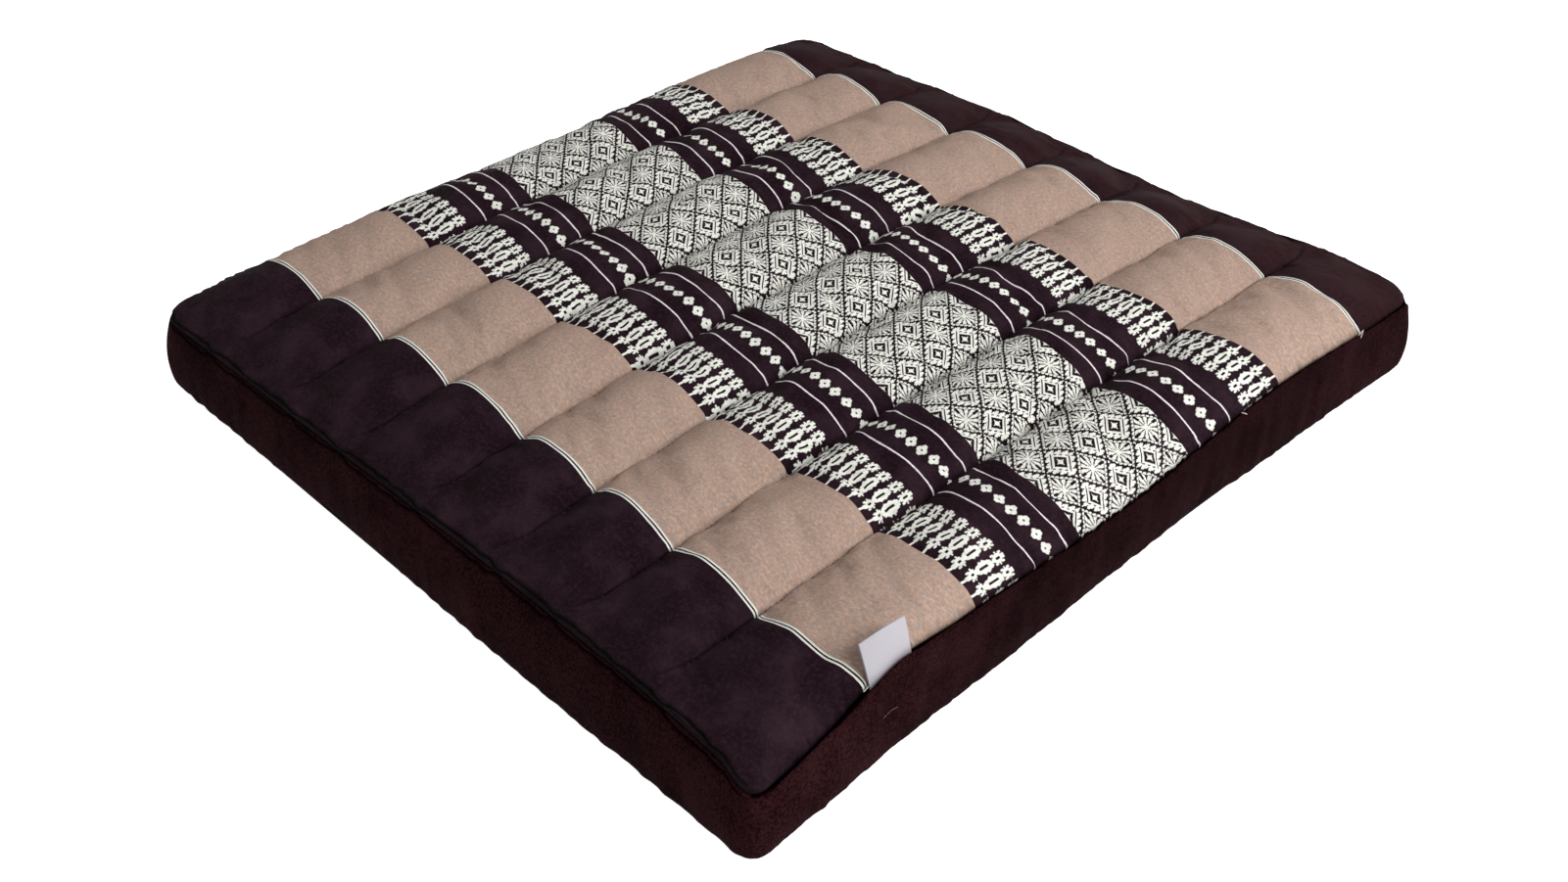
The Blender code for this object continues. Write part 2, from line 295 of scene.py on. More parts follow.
def wall_ring(loop, share, inset, lowest=CLOTH + GAP, drop=CLOTH + GAP):
    """Loop of points round the wall, where share runs from 0 at lowest to 1 at drop under the top seam.
    The top and base outlines are mixed by height, pushed out by wall_push and moved in by inset."""
    flat_x, flat_y = loop
    seam = seam_height(flat_x, flat_y)
    height = lowest + share * (seam - drop - lowest)
    top = np.array(plan(flat_x, flat_y, TOP_OUTLINE))
    base = np.array(plan(flat_x, flat_y, BASE_OUTLINE))
    mix = height / seam
    x, y = mix * top + (1.0 - mix) * base
    normal_x, normal_y = outward(x, y)
    push = wall_push(mix * SEAM_HEIGHT) - inset
    return np.stack([x + push * normal_x, y + push * normal_y, height], axis=1)


# --------------------------------------------------------------------------- grids and meshes


def panel_axes(channel_steps=CHANNEL_STEPS, row_steps=ROW_STEPS):
    """Flat X of the columns, which crowd towards each channel seam, and flat Y of the rows, which crowd
    towards the ends: t - c sin(2 pi t) / 2 pi in each channel, and a mix of even and sine steps in Y."""
    seams = channel_seams()
    t = np.arange(channel_steps) / channel_steps
    t = t - CHANNEL_CROWDING * np.sin(2.0 * np.pi * t) / (2.0 * np.pi)
    x = np.append((seams[:-1, None] + t * np.diff(seams)[:, None]).ravel(), seams[-1])
    s = np.linspace(-1.0, 1.0, row_steps + 1)
    y = DEPTH / 2 * ((1.0 - ROW_CROWDING) * s + ROW_CROWDING * np.sin(np.pi / 2 * s))
    if row_steps == ROW_STEPS:
        more = DEPTH / 2 - np.array(END_ROWS)
        y = np.sort(np.concatenate([y, more, -more]))
    return x, y


def border_of(grid):
    """The grid's edge as one loop, counter-clockwise seen from above, from the -X -Y corner."""
    return np.concatenate([grid[:-1, 0], grid[-1, :-1], grid[:0:-1, -1], grid[0, :0:-1]])


def edge_loop():
    """Flat X and Y of the top panel's edge."""
    return tuple(border_of(flat) for flat in np.meshgrid(*panel_axes(), indexing="ij"))


def grid_faces(index):
    """Quads of a grid of vertices, facing up where its first axis is X and its second is Y."""
    corners = [index[:-1, :-1], index[1:, :-1], index[1:, 1:], index[:-1, 1:]]
    return np.stack(corners, axis=2).reshape(-1, 4)


def waves(x, y, seed, count, shortest, longest):
    """Smooth noise: the mean of count plane cosines of random direction, phase and length, from -1 to 1."""
    rng = np.random.default_rng(seed)
    angle, phase = rng.uniform(0.0, 2.0 * np.pi, (2, count))
    rate = 2.0 * np.pi / rng.uniform(shortest, longest, count)
    total = np.zeros(np.broadcast(x, y).shape)
    for a, p, r in zip(angle, phase, rate):
        total += np.cos(r * (x * np.cos(a) + y * np.sin(a)) + p)
    return total / np.sqrt(count / 2.0) / 2.0


def add_piece(name, vertices, faces, material, slot, uv_maps=None, shade=None, sharp=60.0):
    """One mesh object at the origin, shaded smooth, that rides on the cushion. faces is a list of arrays of
    vertex numbers, and each map in uv_maps a matching list of arrays of the corners' places. shade is from 0,
    black, to 1 at each vertex."""
    mesh = bpy.data.meshes.new(name)
    listed = [face for block in faces for face in block.tolist()]
    mesh.from_pydata(np.asarray(vertices).tolist(), [], listed)
    for map_name, blocks in (uv_maps or {}).items():
        layer = mesh.uv_layers.new(name=map_name, do_init=False)
        layer.data.foreach_set("uv", np.concatenate([block.ravel() for block in blocks]))
    if shade is not None:
        mesh.attributes.new("shade", "FLOAT", "POINT").data.foreach_set("value", shade)
    mesh.materials.append(material)
    mesh.shade_smooth()
    mesh.set_sharp_from_angle(angle=np.radians(sharp))
    mesh.validate()
    piece = bpy.data.objects.new(name, mesh)
    bpy.context.scene.collection.objects.link(piece)
    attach(piece, BODY)
    return piece


# --------------------------------------------------------------------------- shader expressions


class Wire:
    """A socket that takes part in Python expressions: each operator adds the Math node in MATH_NODES."""

    def __init__(self, shader, socket):
        self.shader = shader
        self.socket = socket

    def math(self, operation, *others):
        """This value and the others through one Math node."""
        return self.shader.math(operation, self, *others)

    def __rsub__(self, other):
        return self.shader.math("SUBTRACT", other, self)

    def between(self, low, high):
        """1 from low to high, and 0 outside."""
        return (self > low) * (self < high)

    def ramp(self, low, high):
        """Runs smoothly from 0 at low to 1 at high."""
        settings = {"interpolation_type": "SMOOTHSTEP"}
        return self.shader.add("ShaderNodeMapRange", settings, {0: self, 1: low, 2: high})


MATH_NODES = {
    "__add__": "ADD",
    "__radd__": "ADD",
    "__sub__": "SUBTRACT",
    "__mul__": "MULTIPLY",
    "__rmul__": "MULTIPLY",
    "__truediv__": "DIVIDE",
    "__mod__": "MODULO",
    "__lt__": "LESS_THAN",
    "__gt__": "GREATER_THAN",
    "__abs__": "ABSOLUTE",
    "floor": "FLOOR",
    "nearest": "ROUND",
    "root": "SQRT",
    "angle": "ARCTAN2",
    "either": "MAXIMUM",
    "least": "MINIMUM",
}
for method, operation in MATH_NODES.items():
    setattr(Wire, method, partialmethod(Wire.math, operation))


class Shader:
    """A new node material. add makes any node, and the rest are short names for the common ones."""

    def __init__(self, name, **constants):
        self.material = bpy.data.materials.new(name)
        self.material.use_nodes = True
        self.tree = self.material.node_tree
        self.principled = self.tree.nodes["Principled BSDF"]
        for socket, value in constants.items():
            self.principled.inputs[socket.replace("_", " ")].default_value = value

    def add(self, kind, settings=None, inputs=None, output=0):
        """Adds a node of that type: first its settings, then the values or links of its sockets."""
        node = self.tree.nodes.new(kind)
        for name, value in (settings or {}).items():
            if name == "stops":
                self.set_stops(node.color_ramp, value)
            else:
                setattr(node, name, value)
        for key, value in (inputs or {}).items():
            if isinstance(value, Wire):
                self.tree.links.new(value.socket, node.inputs[key])
            else:
                node.inputs[key].default_value = value
        return Wire(self, node.outputs[output])

    @staticmethod
    def set_stops(ramp, stops):
        """Gives a colour ramp constant steps: each stop is its place and its colour."""
        ramp.interpolation = "CONSTANT"
        for _ in range(len(stops) - len(ramp.elements)):
            ramp.elements.new(1.0)
        for element, (place, colour) in zip(ramp.elements, stops):
            element.position = place
            element.color = colour

    def math(self, operation, *values):
        """One Math node on values and wires."""
        return self.add("ShaderNodeMath", {"operation": operation}, dict(enumerate(values)))

    def split(self, vector):
        """The three numbers of a vector."""
        first = self.add("ShaderNodeSeparateXYZ", None, {0: vector})
        return [Wire(self, output) for output in first.socket.node.outputs]

    def join(self, x, y, z=0.0):
        """The vector of three numbers."""
        return self.add("ShaderNodeCombineXYZ", None, {0: x, 1: y, 2: z})

    def map(self, name):
        """Across and along, from one of the piece's own maps."""
        return self.split(self.add("ShaderNodeUVMap", {"uv_map": name}))[:2]

    def place(self):
        """Object coordinates."""
        return self.add("ShaderNodeTexCoord", output=3)

    def noise(self, place, scale, detail=2.0, roughness=0.5):
        """Noise from 0 to 1, of about scale features in a metre."""
        inputs = {"Vector": place, "Scale": scale, "Detail": detail, "Roughness": roughness}
        return self.add("ShaderNodeTexNoise", None, inputs)

    def mix(self, share, *tints):
        """From the first colour at share 0 to the second at share 1."""
        first, second = (tint if isinstance(tint, Wire) else (*tint, 1.0) for tint in tints)
        return self.add("ShaderNodeMix", {"data_type": "RGBA"}, {0: share, 6: first, 7: second}, 2)

    def shaded(self, tint):
        """The colour, darkened by the piece's own shade."""
        shade = self.add("ShaderNodeAttribute", {"attribute_name": "shade"}, output=2)
        return self.mix(shade, (0.0, 0.0, 0.0), tint)

    def link(self, socket, wire):
        """Feeds one of the surface's own sockets."""
        self.tree.links.new(wire.socket, self.principled.inputs[socket])

    def relief(self, height):
        """Bends the surface by a height in metres."""
        inputs = {"Strength": 1.0, "Distance": 1.0, "Height": height}
        self.link("Normal", self.add("ShaderNodeBump", None, inputs))


def chart(shader, rows, row, column):
    """1 where the chart has a #. Each row is a number whose binary digits are its #s, in the red of a stepped
    ramp, and the column picks its digit: floor(number / 2^column) mod 2."""
    most = 2.0 ** len(rows[0])
    numbers = [sum(2**place for place, cell in enumerate(cells) if cell == "#") for cells in rows]
    changes = [at for at, number in enumerate(numbers) if at == 0 or number != numbers[at - 1]]
    stops = [(at / len(rows), (numbers[at] / most, 0.0, 0.0, 1.0)) for at in changes]
    stepped = shader.add("ShaderNodeValToRGB", {"stops": stops}, {0: (row + 0.5) / len(rows)})
    digits = (shader.split(stepped)[0] * most + 0.5) / shader.math("POWER", 2.0, column)
    return digits.floor() % 2.0 * row.between(-0.5, len(rows) - 0.5)


# --------------------------------------------------------------------------- materials


def lattice_mask(threads, along):
    """Light threads of the lattice: flowers of twelve petals, and round each a diamond of pearls, teeth, a
    line and dots, with a ring in the gap between. i and j count threads from the nearest flower, and i + j
    runs outwards. A petal ends at a rounded tip, teeth are dark wedges that narrow outwards, five threads
    apart, and the dots run together into a line on two of the diamond's sides."""
    u = threads / THREADS
    u = u - u.nearest()
    v = (along - ROW_REPEAT / 2) / ROW_REPEAT
    v = v - v.nearest()
    i = (abs(u) * THREADS + 0.5).floor()
    j = (abs(v) * THREADS + 0.5).floor()
    d = i + j
    reach = (i * i + j * j).root()
    turn = j.angle(i) * (PETALS / (2.0 * np.pi))
    aside = abs(turn - turn.nearest())
    short = 0.5 - aside
    petals = (d + 13.0 * short * short < 16.8) * (aside > 0.050 + 0.0150 * reach)
    flower = petals.either(reach < 2.6)
    pearls = d.between(17.5, 20.5) * (1.0 - (i % 3.0 < 0.5) * (d > 18.5))
    from_slit = 2.5 - abs(i % 5.0 - 2.5)
    teeth = d.between(22.5, 28.5) * (from_slit > (28.6 - d) / 2.7)
    run_together = u * v > 0.0
    dots = d.between(30.5, 32.5) * (i % 4.0 < 1.5).either(run_together)
    lines = d.between(28.5, 35.5) * (1.0 - dots)
    arms = (d > 39.5) * ((THREADS / 2 - i).least(THREADS / 2 - j) < 0.5)
    ring = (d > 40.5).either(arms)
    pattern = flower.either(pearls).either(teeth).either(lines).either(ring)
    return pattern * (abs(along) < LATTICE_EDGE)


def figure_mask(shader, threads, row):
    """Light threads of the standing figures and of the small diamonds, which share their columns."""
    group = (threads + FIGURE_START) / FIGURE_REPEAT
    offset = abs(group - group.nearest()) * FIGURE_REPEAT
    nearest = abs(offset - FIGURE_PLACES[0]).least(abs(offset - FIGURE_PLACES[1]))
    column = (nearest - FIGURE_CORE).floor().either(0.0)
    figures = chart(shader, FIGURE, ((FIGURE_EDGE - row) / PICK).floor(), column)
    first = DOTTED_ROW - PICK * len(DIAMOND) / 2
    diamonds = chart(shader, DIAMOND, ((row - first) / PICK).floor(), column)
    return figures.either(diamonds)


def pair_mask(row, places, width):
    """1 within a width of either of two lines."""
    first, second = (abs(row - place) < width for place in places)
    return first.either(second)


def speckled(shader, across, along, tint, speckles, looks):
    """The colour, with each speckle's own colour mixed in where its noise runs from low to high."""
    for speckle in speckles:
        place = shader.join(across * speckle.across, along * speckle.along, speckle.seed)
        noise = shader.noise(place, speckle.scale, speckle.detail, speckle.roughness)
        share = noise.ramp(speckle.low, speckle.high) * speckle.share
        tint = shader.mix(share, tint, getattr(looks, speckle.tint))
    return tint


def woven_material(looks):
    """The top panel's cloth, from its own map: across in channels, and along in metres from the middle. The
    lines of the -Y side are drawn in by a parabola across the channels."""
    shader = Shader("woven_panel", Roughness=0.9, Specular_IOR_Level=0.075)
    across, along = shader.map("cloth")
    drift = shader.noise(shader.join(across * MEAN_CHANNEL, along), 28.0) - 0.5
    shift = shader.noise(shader.join(along, across * 0.08, 3.0), 30.0) - 0.5
    signed = along + drift * looks.wander
    middle = (across - DRAWN_MIDDLE) / DRAWN_REACH
    drawn = (1.0 - middle * middle) * looks.drawn_in * (signed < 0.0)
    row = abs(signed)
    row = row + drawn * row.ramp(FIGURE_EDGE, STRIPES[0] - 0.01)
    threads = across * (REPEATS * THREADS) + shift * (looks.wander * 900.0)
    edge = shader.noise(shader.join(across * 0.07, along * 0.3), 700.0, 0.0)
    slubs = shader.noise(shader.join(across * 0.02, along, 5.0), 1400.0, 1.0)
    stain = shader.noise(shader.join(across * 0.07, along * 0.25, 4.0), 110.0, 4.0, 0.7)

    light = lattice_mask(threads, signed).either(figure_mask(shader, threads, row))
    light = light.either(pair_mask(row, STRIPES, 0.00034 + edge * 0.00024))
    thin = pair_mask(row, THIN_LINES, 0.00028 + edge * 0.00036)
    plain = row.between(FIGURE_EDGE, STRIPES[0] - 0.0002)

    beige = speckled(shader, across, along, looks.beige, BEIGE_SPECKLES, looks)
    # painted shade: the brown stain mix grows on each channel's -X flank, which faces away from the light; the
    # slubs and the stains elsewhere are the cloth's own
    shadow_side = (1.0 - (across % 1.0).ramp(0.0, 0.45)) * 0.35
    brown = (slubs.ramp(0.52, 0.75) * 0.30).either(stain.ramp(0.48, 0.72) * (0.12 + shadow_side))
    beige = shader.mix(brown, beige, looks.beige_brown_and_shade)
    dark = speckled(shader, across, along, looks.dark, DARK_SPECKLES, looks)
    dark = shader.mix(signed.ramp(0.17, 0.23) * 0.5, dark, looks.dark_far)
    from_thread = abs(threads - threads.nearest())
    thread = shader.mix(edge.ramp(0.35, 0.75) * 0.6, looks.light, looks.light_shade)
    thread = shader.mix(from_thread.ramp(0.36, 0.5) * 0.55, thread, looks.light_gap)
    base = shader.mix(thin, shader.mix(plain, dark, beige), looks.thin_line)
    shader.link("Base Color", shader.shaded(shader.mix(light, base, thread)))
    shader.relief(from_thread * from_thread * 0.00040 + slubs * 0.00006 + light * looks.relief)
    return shader.material


def plain_material(name, dark, light, shaded=False):
    """Plain dark cotton: two tones in fine flecks, faint streaks and a fine even weave."""
    shader = Shader(name, Roughness=0.9, Specular_IOR_Level=0.012)
    place = shader.place()
    flecks = shader.noise(place, 700.0, 4.0, 0.75)
    streaks = shader.noise(place, 35.0, 3.0)
    tint = shader.mix((flecks * 0.8 + streaks * 0.3).ramp(0.43, 0.68), dark, light)
    shader.link("Base Color", shader.shaded(tint) if shaded else tint)
    shader.relief(shader.noise(place, 2200.0, 1.0) * 0.00022)
    return shader.material


def satin_material(looks):
    """White satin ribbon: fine ribs along it and a soft sheen."""
    shader = Shader("tab_satin", Roughness=0.42, Specular_IOR_Level=0.4)
    x, y, z = shader.split(shader.place())
    ribs = shader.noise(shader.join(x * 0.2, y * 0.2, z), 3500.0, 1.0)
    shader.link("Base Color", shader.mix(ribs, looks.satin, looks.satin_shade))
    shader.relief(ribs * 0.00008)
    return shader.material


def thread_material(name, light, dark):
    """Sewing thread: two tones in short turns of its twist."""
    shader = Shader(name, Roughness=0.8, Specular_IOR_Level=0.2)
    twist = shader.noise(shader.place(), 3000.0, 1.0)
    shader.link("Base Color", shader.mix(twist.ramp(0.35, 0.65), light, dark))
    shader.relief(twist * 0.00008)
    return shader.material


def floor_material(looks):
    """Plain pale floor that carries a little of its own light, so that it stays even."""
    white, glow = (1.0, 1.0, 1.0, 1.0), looks.floor_glow
    constants = {"Emission_Color": white, "Emission_Strength": glow}
    shader = Shader("floor_paint", Roughness=0.9, Specular_IOR_Level=0.0, **constants)
    mottle = shader.noise(shader.place(), 6.0, 2.0)
    shader.link("Base Color", shader.mix(mottle * 0.2, looks.floor, [0.98 * part for part in looks.floor]))
    return shader.material


# --------------------------------------------------------------------------- shape of the sewn top


def woven_middle(y):
    """1 in the patterned middle, 0 in the plain bands."""
    return smooth_step((FIGURE_EDGE + 0.005 - np.abs(y)) / 0.010)


def from_seam(x, y, looks):
    """Distance from the nearest inner seam's line: it wanders in the woven middle and hooks at the ends."""
    stray = waves(y, 3.0 * np.round(x / SEAM_PITCH), 15, 12, 0.009, 0.028)
    path = looks.crease_wander * stray * woven_middle(y)
    path = path + 0.006 * smooth_step((np.abs(y) - 0.236) / 0.024)
    return np.abs((x + path)[..., None] - channel_seams()[1:-1]).min(axis=-1)


def crease(x, y, looks):
    """Depth of the sewn creases: at each inner seam d(1 - s/w)^2, where s is the distance from it. They are
    deep and wide in the woven middle, a shallow line in the plain bands, and run out at the ends."""
    woven = woven_middle(y)
    s = from_seam(x, y, looks)
    uneven = 1.0 + 0.30 * waves(y, np.round(x / SEAM_PITCH), 16, 10, 0.012, 0.045)
    depth = looks.stitch_line_depth + (looks.crease_depth * uneven - looks.stitch_line_depth) * woven
    width = looks.stitch_line_width + (looks.crease_width - looks.stitch_line_width) * woven
    depth = depth * smooth_step((DEPTH / 2 - 0.009 - np.abs(y)) / 0.014)
    return depth * np.clip(1.0 - s / width, 0.0, 1.0) ** 2


def lumps(x, y, looks):
    """Unevenness of the filling: two scales of smooth noise, none in the seams and more in the middle."""
    index, across = across_channel(x)
    room = (4.0 * across * (1.0 - across)) ** 0.7 * smooth_step((DEPTH / 2 - np.abs(y)) / 0.05)
    room = room * smooth_step((WIDTH / 2 - np.abs(x)) / 0.02)
    noise = waves(x + 0.31 * index, y, 11, 14, 0.045, 0.11)
    fine = waves(x + 0.17 * index, y, 12, 18, 0.016, 0.030)
    return looks.lump_height * room * (noise + (0.15 + 0.30 * woven_middle(y)) * fine)


def puckers(x, y, looks):
    """Short folds that run out of the seams: each is a groove of random place, length, slant and depth,
    exp(-(t/w)^2) across, where t is the distance from its slanted line, and fading along its length."""
    rng = np.random.default_rng(looks.seed)
    total = np.zeros(x.shape)
    columns, rows = x[:, 0], y[0]
    for seam in channel_seams()[1:-1]:
        for side in (-1.0, 1.0):
            start = -DEPTH / 2 + 0.03
            while start < DEPTH / 2 - 0.03:
                start += rng.uniform(0.0045, 0.011)
                share = 1.0 if abs(start) < FIGURE_EDGE else 0.09
                length = rng.uniform(0.007, 0.018)
                slant = rng.normal(0.0, 0.45)
                wide = rng.uniform(0.0015, 0.0028)
                deep = looks.pucker_height * rng.uniform(0.3, 1.0) * share
                near_x = np.nonzero((side * (columns - seam) > -0.001) & (np.abs(columns - seam) < length))[0]
                near_y = np.nonzero(np.abs(rows - start) < 0.016)[0]
                if len(near_x) == 0 or len(near_y) == 0:
                    continue
                block = np.ix_(near_x, near_y)
                out = side * (x[block] - seam)
                t = y[block] - start - slant * out
                fade = (1.0 - np.clip(out / length, 0.0, 1.0)) ** 2
                fade = fade * (0.25 + 0.75 * np.clip(out / 0.002, 0.0, 1.0))
                total[block] -= deep * np.exp(-((t / wide) ** 2)) * fade
    return total


def edge_gathers(x, y, looks):
    """Small gathers along the side seams: two waves of uneven pitch along Y that fade inwards."""
    inside = WIDTH / 2 - np.abs(x)
    near = np.exp(-((inside / looks.gather_reach) ** 2)) * smooth_step((DEPTH / 2 - 0.015 - np.abs(y)) / 0.03)
    side = np.sign(x)
    turns = y / looks.gather_pitch + 0.45 * waves(y, side, 17, 8, 0.02, 0.07)
    fine = 0.6 * waves(y, side, 18, 8, 0.006, 0.014)
    return looks.gather_height * near * (np.cos(2.0 * np.pi * turns) + fine)


def end_groove(x, y, far, under):
    """1 along the middle of a groove beside the seam of the ends, where under is the distance from the edge
    and far the groove's own. It wavers, and comes up to the edge at a pinch by each channel seam."""
    end = np.sign(y)
    pinch = np.zeros(x.shape)
    for number, seam in enumerate(channel_seams()[1:-1]):
        aside = 0.010 * np.sin(2.4 * number + end)
        pinch = pinch + np.exp(-(((x - seam - aside) / PINCH_REACH) ** 2))
    path = far * (1.0 + 0.35 * waves(x, end, 27, 10, 0.010, 0.035)) * (1.0 - 0.8 * np.minimum(pinch, 1.0))
    wide = 0.00045 + 0.15 * far
    return np.exp(-(((under - path) / wide) ** 2)) * smooth_step((WIDTH / 2 - np.abs(x)) / 0.010)


def smooth_top():
    """Points of the solid's own top, columns by rows by 3."""
    flat_x, flat_y = np.meshgrid(*panel_axes(), indexing="ij")
    return np.stack([*plan(flat_x, flat_y, TOP_OUTLINE), top_height(flat_x, flat_y)], axis=2)


def sewn_top(looks, channel_steps=CHANNEL_STEPS, row_steps=ROW_STEPS, folds=True):
    """Points of the top panel, columns by rows by 3: the solid's height, less the creases, plus the filling's
    lumps and, with folds, the puckers and gathers."""
    flat_x, flat_y = np.meshgrid(*panel_axes(channel_steps, row_steps), indexing="ij")
    x, y = plan(flat_x, flat_y, TOP_OUTLINE)
    z = top_height(flat_x, flat_y) - crease(flat_x, flat_y, looks) + lumps(flat_x, flat_y, looks)
    if folds:
        gathers = edge_gathers(flat_x, flat_y, looks)
        z = z + puckers(flat_x, flat_y, looks) + gathers
        z = z - looks.welt_depth * end_groove(flat_x, flat_y, TOP_GROOVE, DEPTH / 2 - np.abs(flat_y))
        x = x + 0.6 * np.sign(x) * gathers
    return np.stack([x, y, z], axis=2)


def top_shade(looks):
    """How much light reaches the top panel: less in the creases, along their seams' lines in the plain bands,
    in the grooves and welts at the ends, and at the edges."""
    x, y = np.meshgrid(*panel_axes(), indexing="ij")
    deep = np.clip(crease(x, y, looks) / looks.crease_depth, 0.0, 1.0)
    inside = DEPTH / 2 - np.abs(y)
    line = np.exp(-((from_seam(x, y, looks) / 0.0008) ** 2)) * smooth_step((inside - 0.004) / 0.010)
    line = line * smooth_step((np.abs(y) - 0.190) / 0.010)
    groove = end_groove(x, y, TOP_GROOVE, inside)
    welt = np.exp(-((inside / 0.0021) ** 2))
    ragged = 0.0007 * (1.0 + 0.6 * waves(y, np.sign(x), 33, 10, 0.003, 0.009))
    hem = np.exp(-(((WIDTH / 2 - np.abs(x)) / ragged) ** 2))
    shade = (1.0 - 0.25 * deep**2) * (1.0 - 0.55 * line) * (1.0 - 0.35 * hem)
    return shade * (1.0 - 0.96 * groove) * (1.0 - 0.6 * welt)


def running_mean(values, half):
    """Mean over 2 half + 1 rows, along the second axis, with the ends repeated."""
    padded = np.pad(values, ((0, 0), (half + 1, half), (0, 0)), mode="edge")
    total = np.cumsum(padded, axis=1)
    return (total[:, 2 * half + 1 :] - total[:, : -2 * half - 1]) / (2 * half + 1)


def simulated_folds(looks):
    """How far a slack cover, pinned at every seam and blown up from below, buckles: points of a coarse grid,
    columns by rows by 3. Only what changes along a channel is kept, and no point moves past the cap."""
    start = sewn_top(looks, COVER_CHANNEL_STEPS, COVER_ROW_STEPS)
    columns, rows = start.shape[:2]
    index = np.arange(columns * rows).reshape(columns, rows)
    mesh = bpy.data.meshes.new("slack_cover")
    mesh.from_pydata(start.reshape(-1, 3).tolist(), [], grid_faces(index).tolist())
    cover = bpy.data.objects.new("slack_cover", mesh)
    scene = bpy.context.scene
    scene.collection.objects.link(cover)
    pins = cover.vertex_groups.new(name="pins")
    pinned = np.concatenate([index[::COVER_CHANNEL_STEPS].ravel(), index[:, 0], index[:, -1]])
    pins.add(np.unique(pinned).tolist(), 1.0, "REPLACE")
    cloth = cover.modifiers.new("cloth", "CLOTH")
    settings = cloth.settings
    settings.vertex_group_mass = "pins"
    settings.quality = 5
    settings.mass = 0.12
    settings.tension_stiffness = 20.0
    settings.compression_stiffness = 12.0
    settings.shear_stiffness = 4.0
    settings.bending_stiffness = looks.fold_stiffness
    settings.shrink_min = -looks.slack
    settings.use_pressure = True
    settings.uniform_pressure_force = 4.0
    settings.effector_weights.gravity = 0.0
    for number in range(1, 21):
        scene.frame_set(number)
    graph = bpy.context.evaluated_depsgraph_get()
    moved = np.empty(3 * columns * rows)
    cover.evaluated_get(graph).data.vertices.foreach_get("co", moved)
    scene.frame_set(1)
    bpy.data.objects.remove(cover)
    bpy.data.meshes.remove(mesh)
    shift = moved.reshape(start.shape) - start
    shift = shift - running_mean(shift, 9)
    size = np.linalg.norm(shift, axis=2, keepdims=True)
    return shift * np.minimum(1.0, looks.fold_cap / np.maximum(size, 1e-9))


def on_fine_grid(coarse):
    """The coarse grid's values at the points of the fine grid, straight between its columns and its rows."""
    coarse_x, coarse_y = panel_axes(COVER_CHANNEL_STEPS, COVER_ROW_STEPS)
    fine_x, fine_y = panel_axes()
    columns = np.interp(fine_x, coarse_x, np.arange(len(coarse_x)))
    rows = np.interp(fine_y, coarse_y, np.arange(len(coarse_y)))
    left = np.minimum(columns.astype(int), len(coarse_x) - 2)
    low = np.minimum(rows.astype(int), len(coarse_y) - 2)
    share_x, share_y = (columns - left)[:, None, None], (rows - low)[None, :, None]
    near, far = coarse[left], coarse[left + 1]
    across = near + (far - near) * share_x
    return across[:, low] + (across[:, low + 1] - across[:, low]) * share_y


def cloth_map(points, looks):
    """Where each point lies on the cloth. Across, each channel takes 1, shared out by the length of the
    surface. Along, it is the drawn Y: stretched a little past the middle, less the lag on the crowns and the
    bow at the +X seam."""
    steps = np.hypot(*np.moveaxis(np.diff(points[:, :, [0, 2]], axis=0), 2, 0))
    length = np.concatenate([np.zeros((1, steps.shape[1])), np.cumsum(steps, axis=0)])
    count = (len(points) - 1) // len(CHANNELS)
    across = np.zeros(length.shape)
    for number in range(len(CHANNELS)):
        part = slice(number * count, (number + 1) * count + 1)
        start, end = length[number * count], length[(number + 1) * count]
        across[part] = number + (length[part] - start) / (end - start)
    x, y = points[:, :, 0], points[:, :, 1]
    along = np.where(y > 0.0, y / (1.0 + 0.0165 * smooth_step(y / 0.07)), y)
    crown = np.sin(np.pi * across) ** 2 * smooth_step((0.17 - np.abs(y)) / 0.1)
    along = along + looks.drag * crown * smooth_step((x + 0.16) / 0.26)
    bow = smooth_step(1.0 - (WIDTH / 2 - x) / 0.022) * smooth_step(1.0 - np.abs(y + 0.2) / 0.06)
    return np.stack([across, along - looks.bow * bow], axis=2)


# --------------------------------------------------------------------------- settings


def length(name, description, default):
    """A length in metres."""
    return FloatProperty(name=name, description=description, default=default, unit="LENGTH")


def angle(name, description, degrees):
    """An angle, whose default is given in degrees."""
    return FloatProperty(name=name, description=description, default=np.radians(degrees), unit="ROTATION")


def tint(name, description, default):
    """A colour."""
    return FloatVectorProperty(name=name, description=description, default=default, subtype="COLOR", size=3)


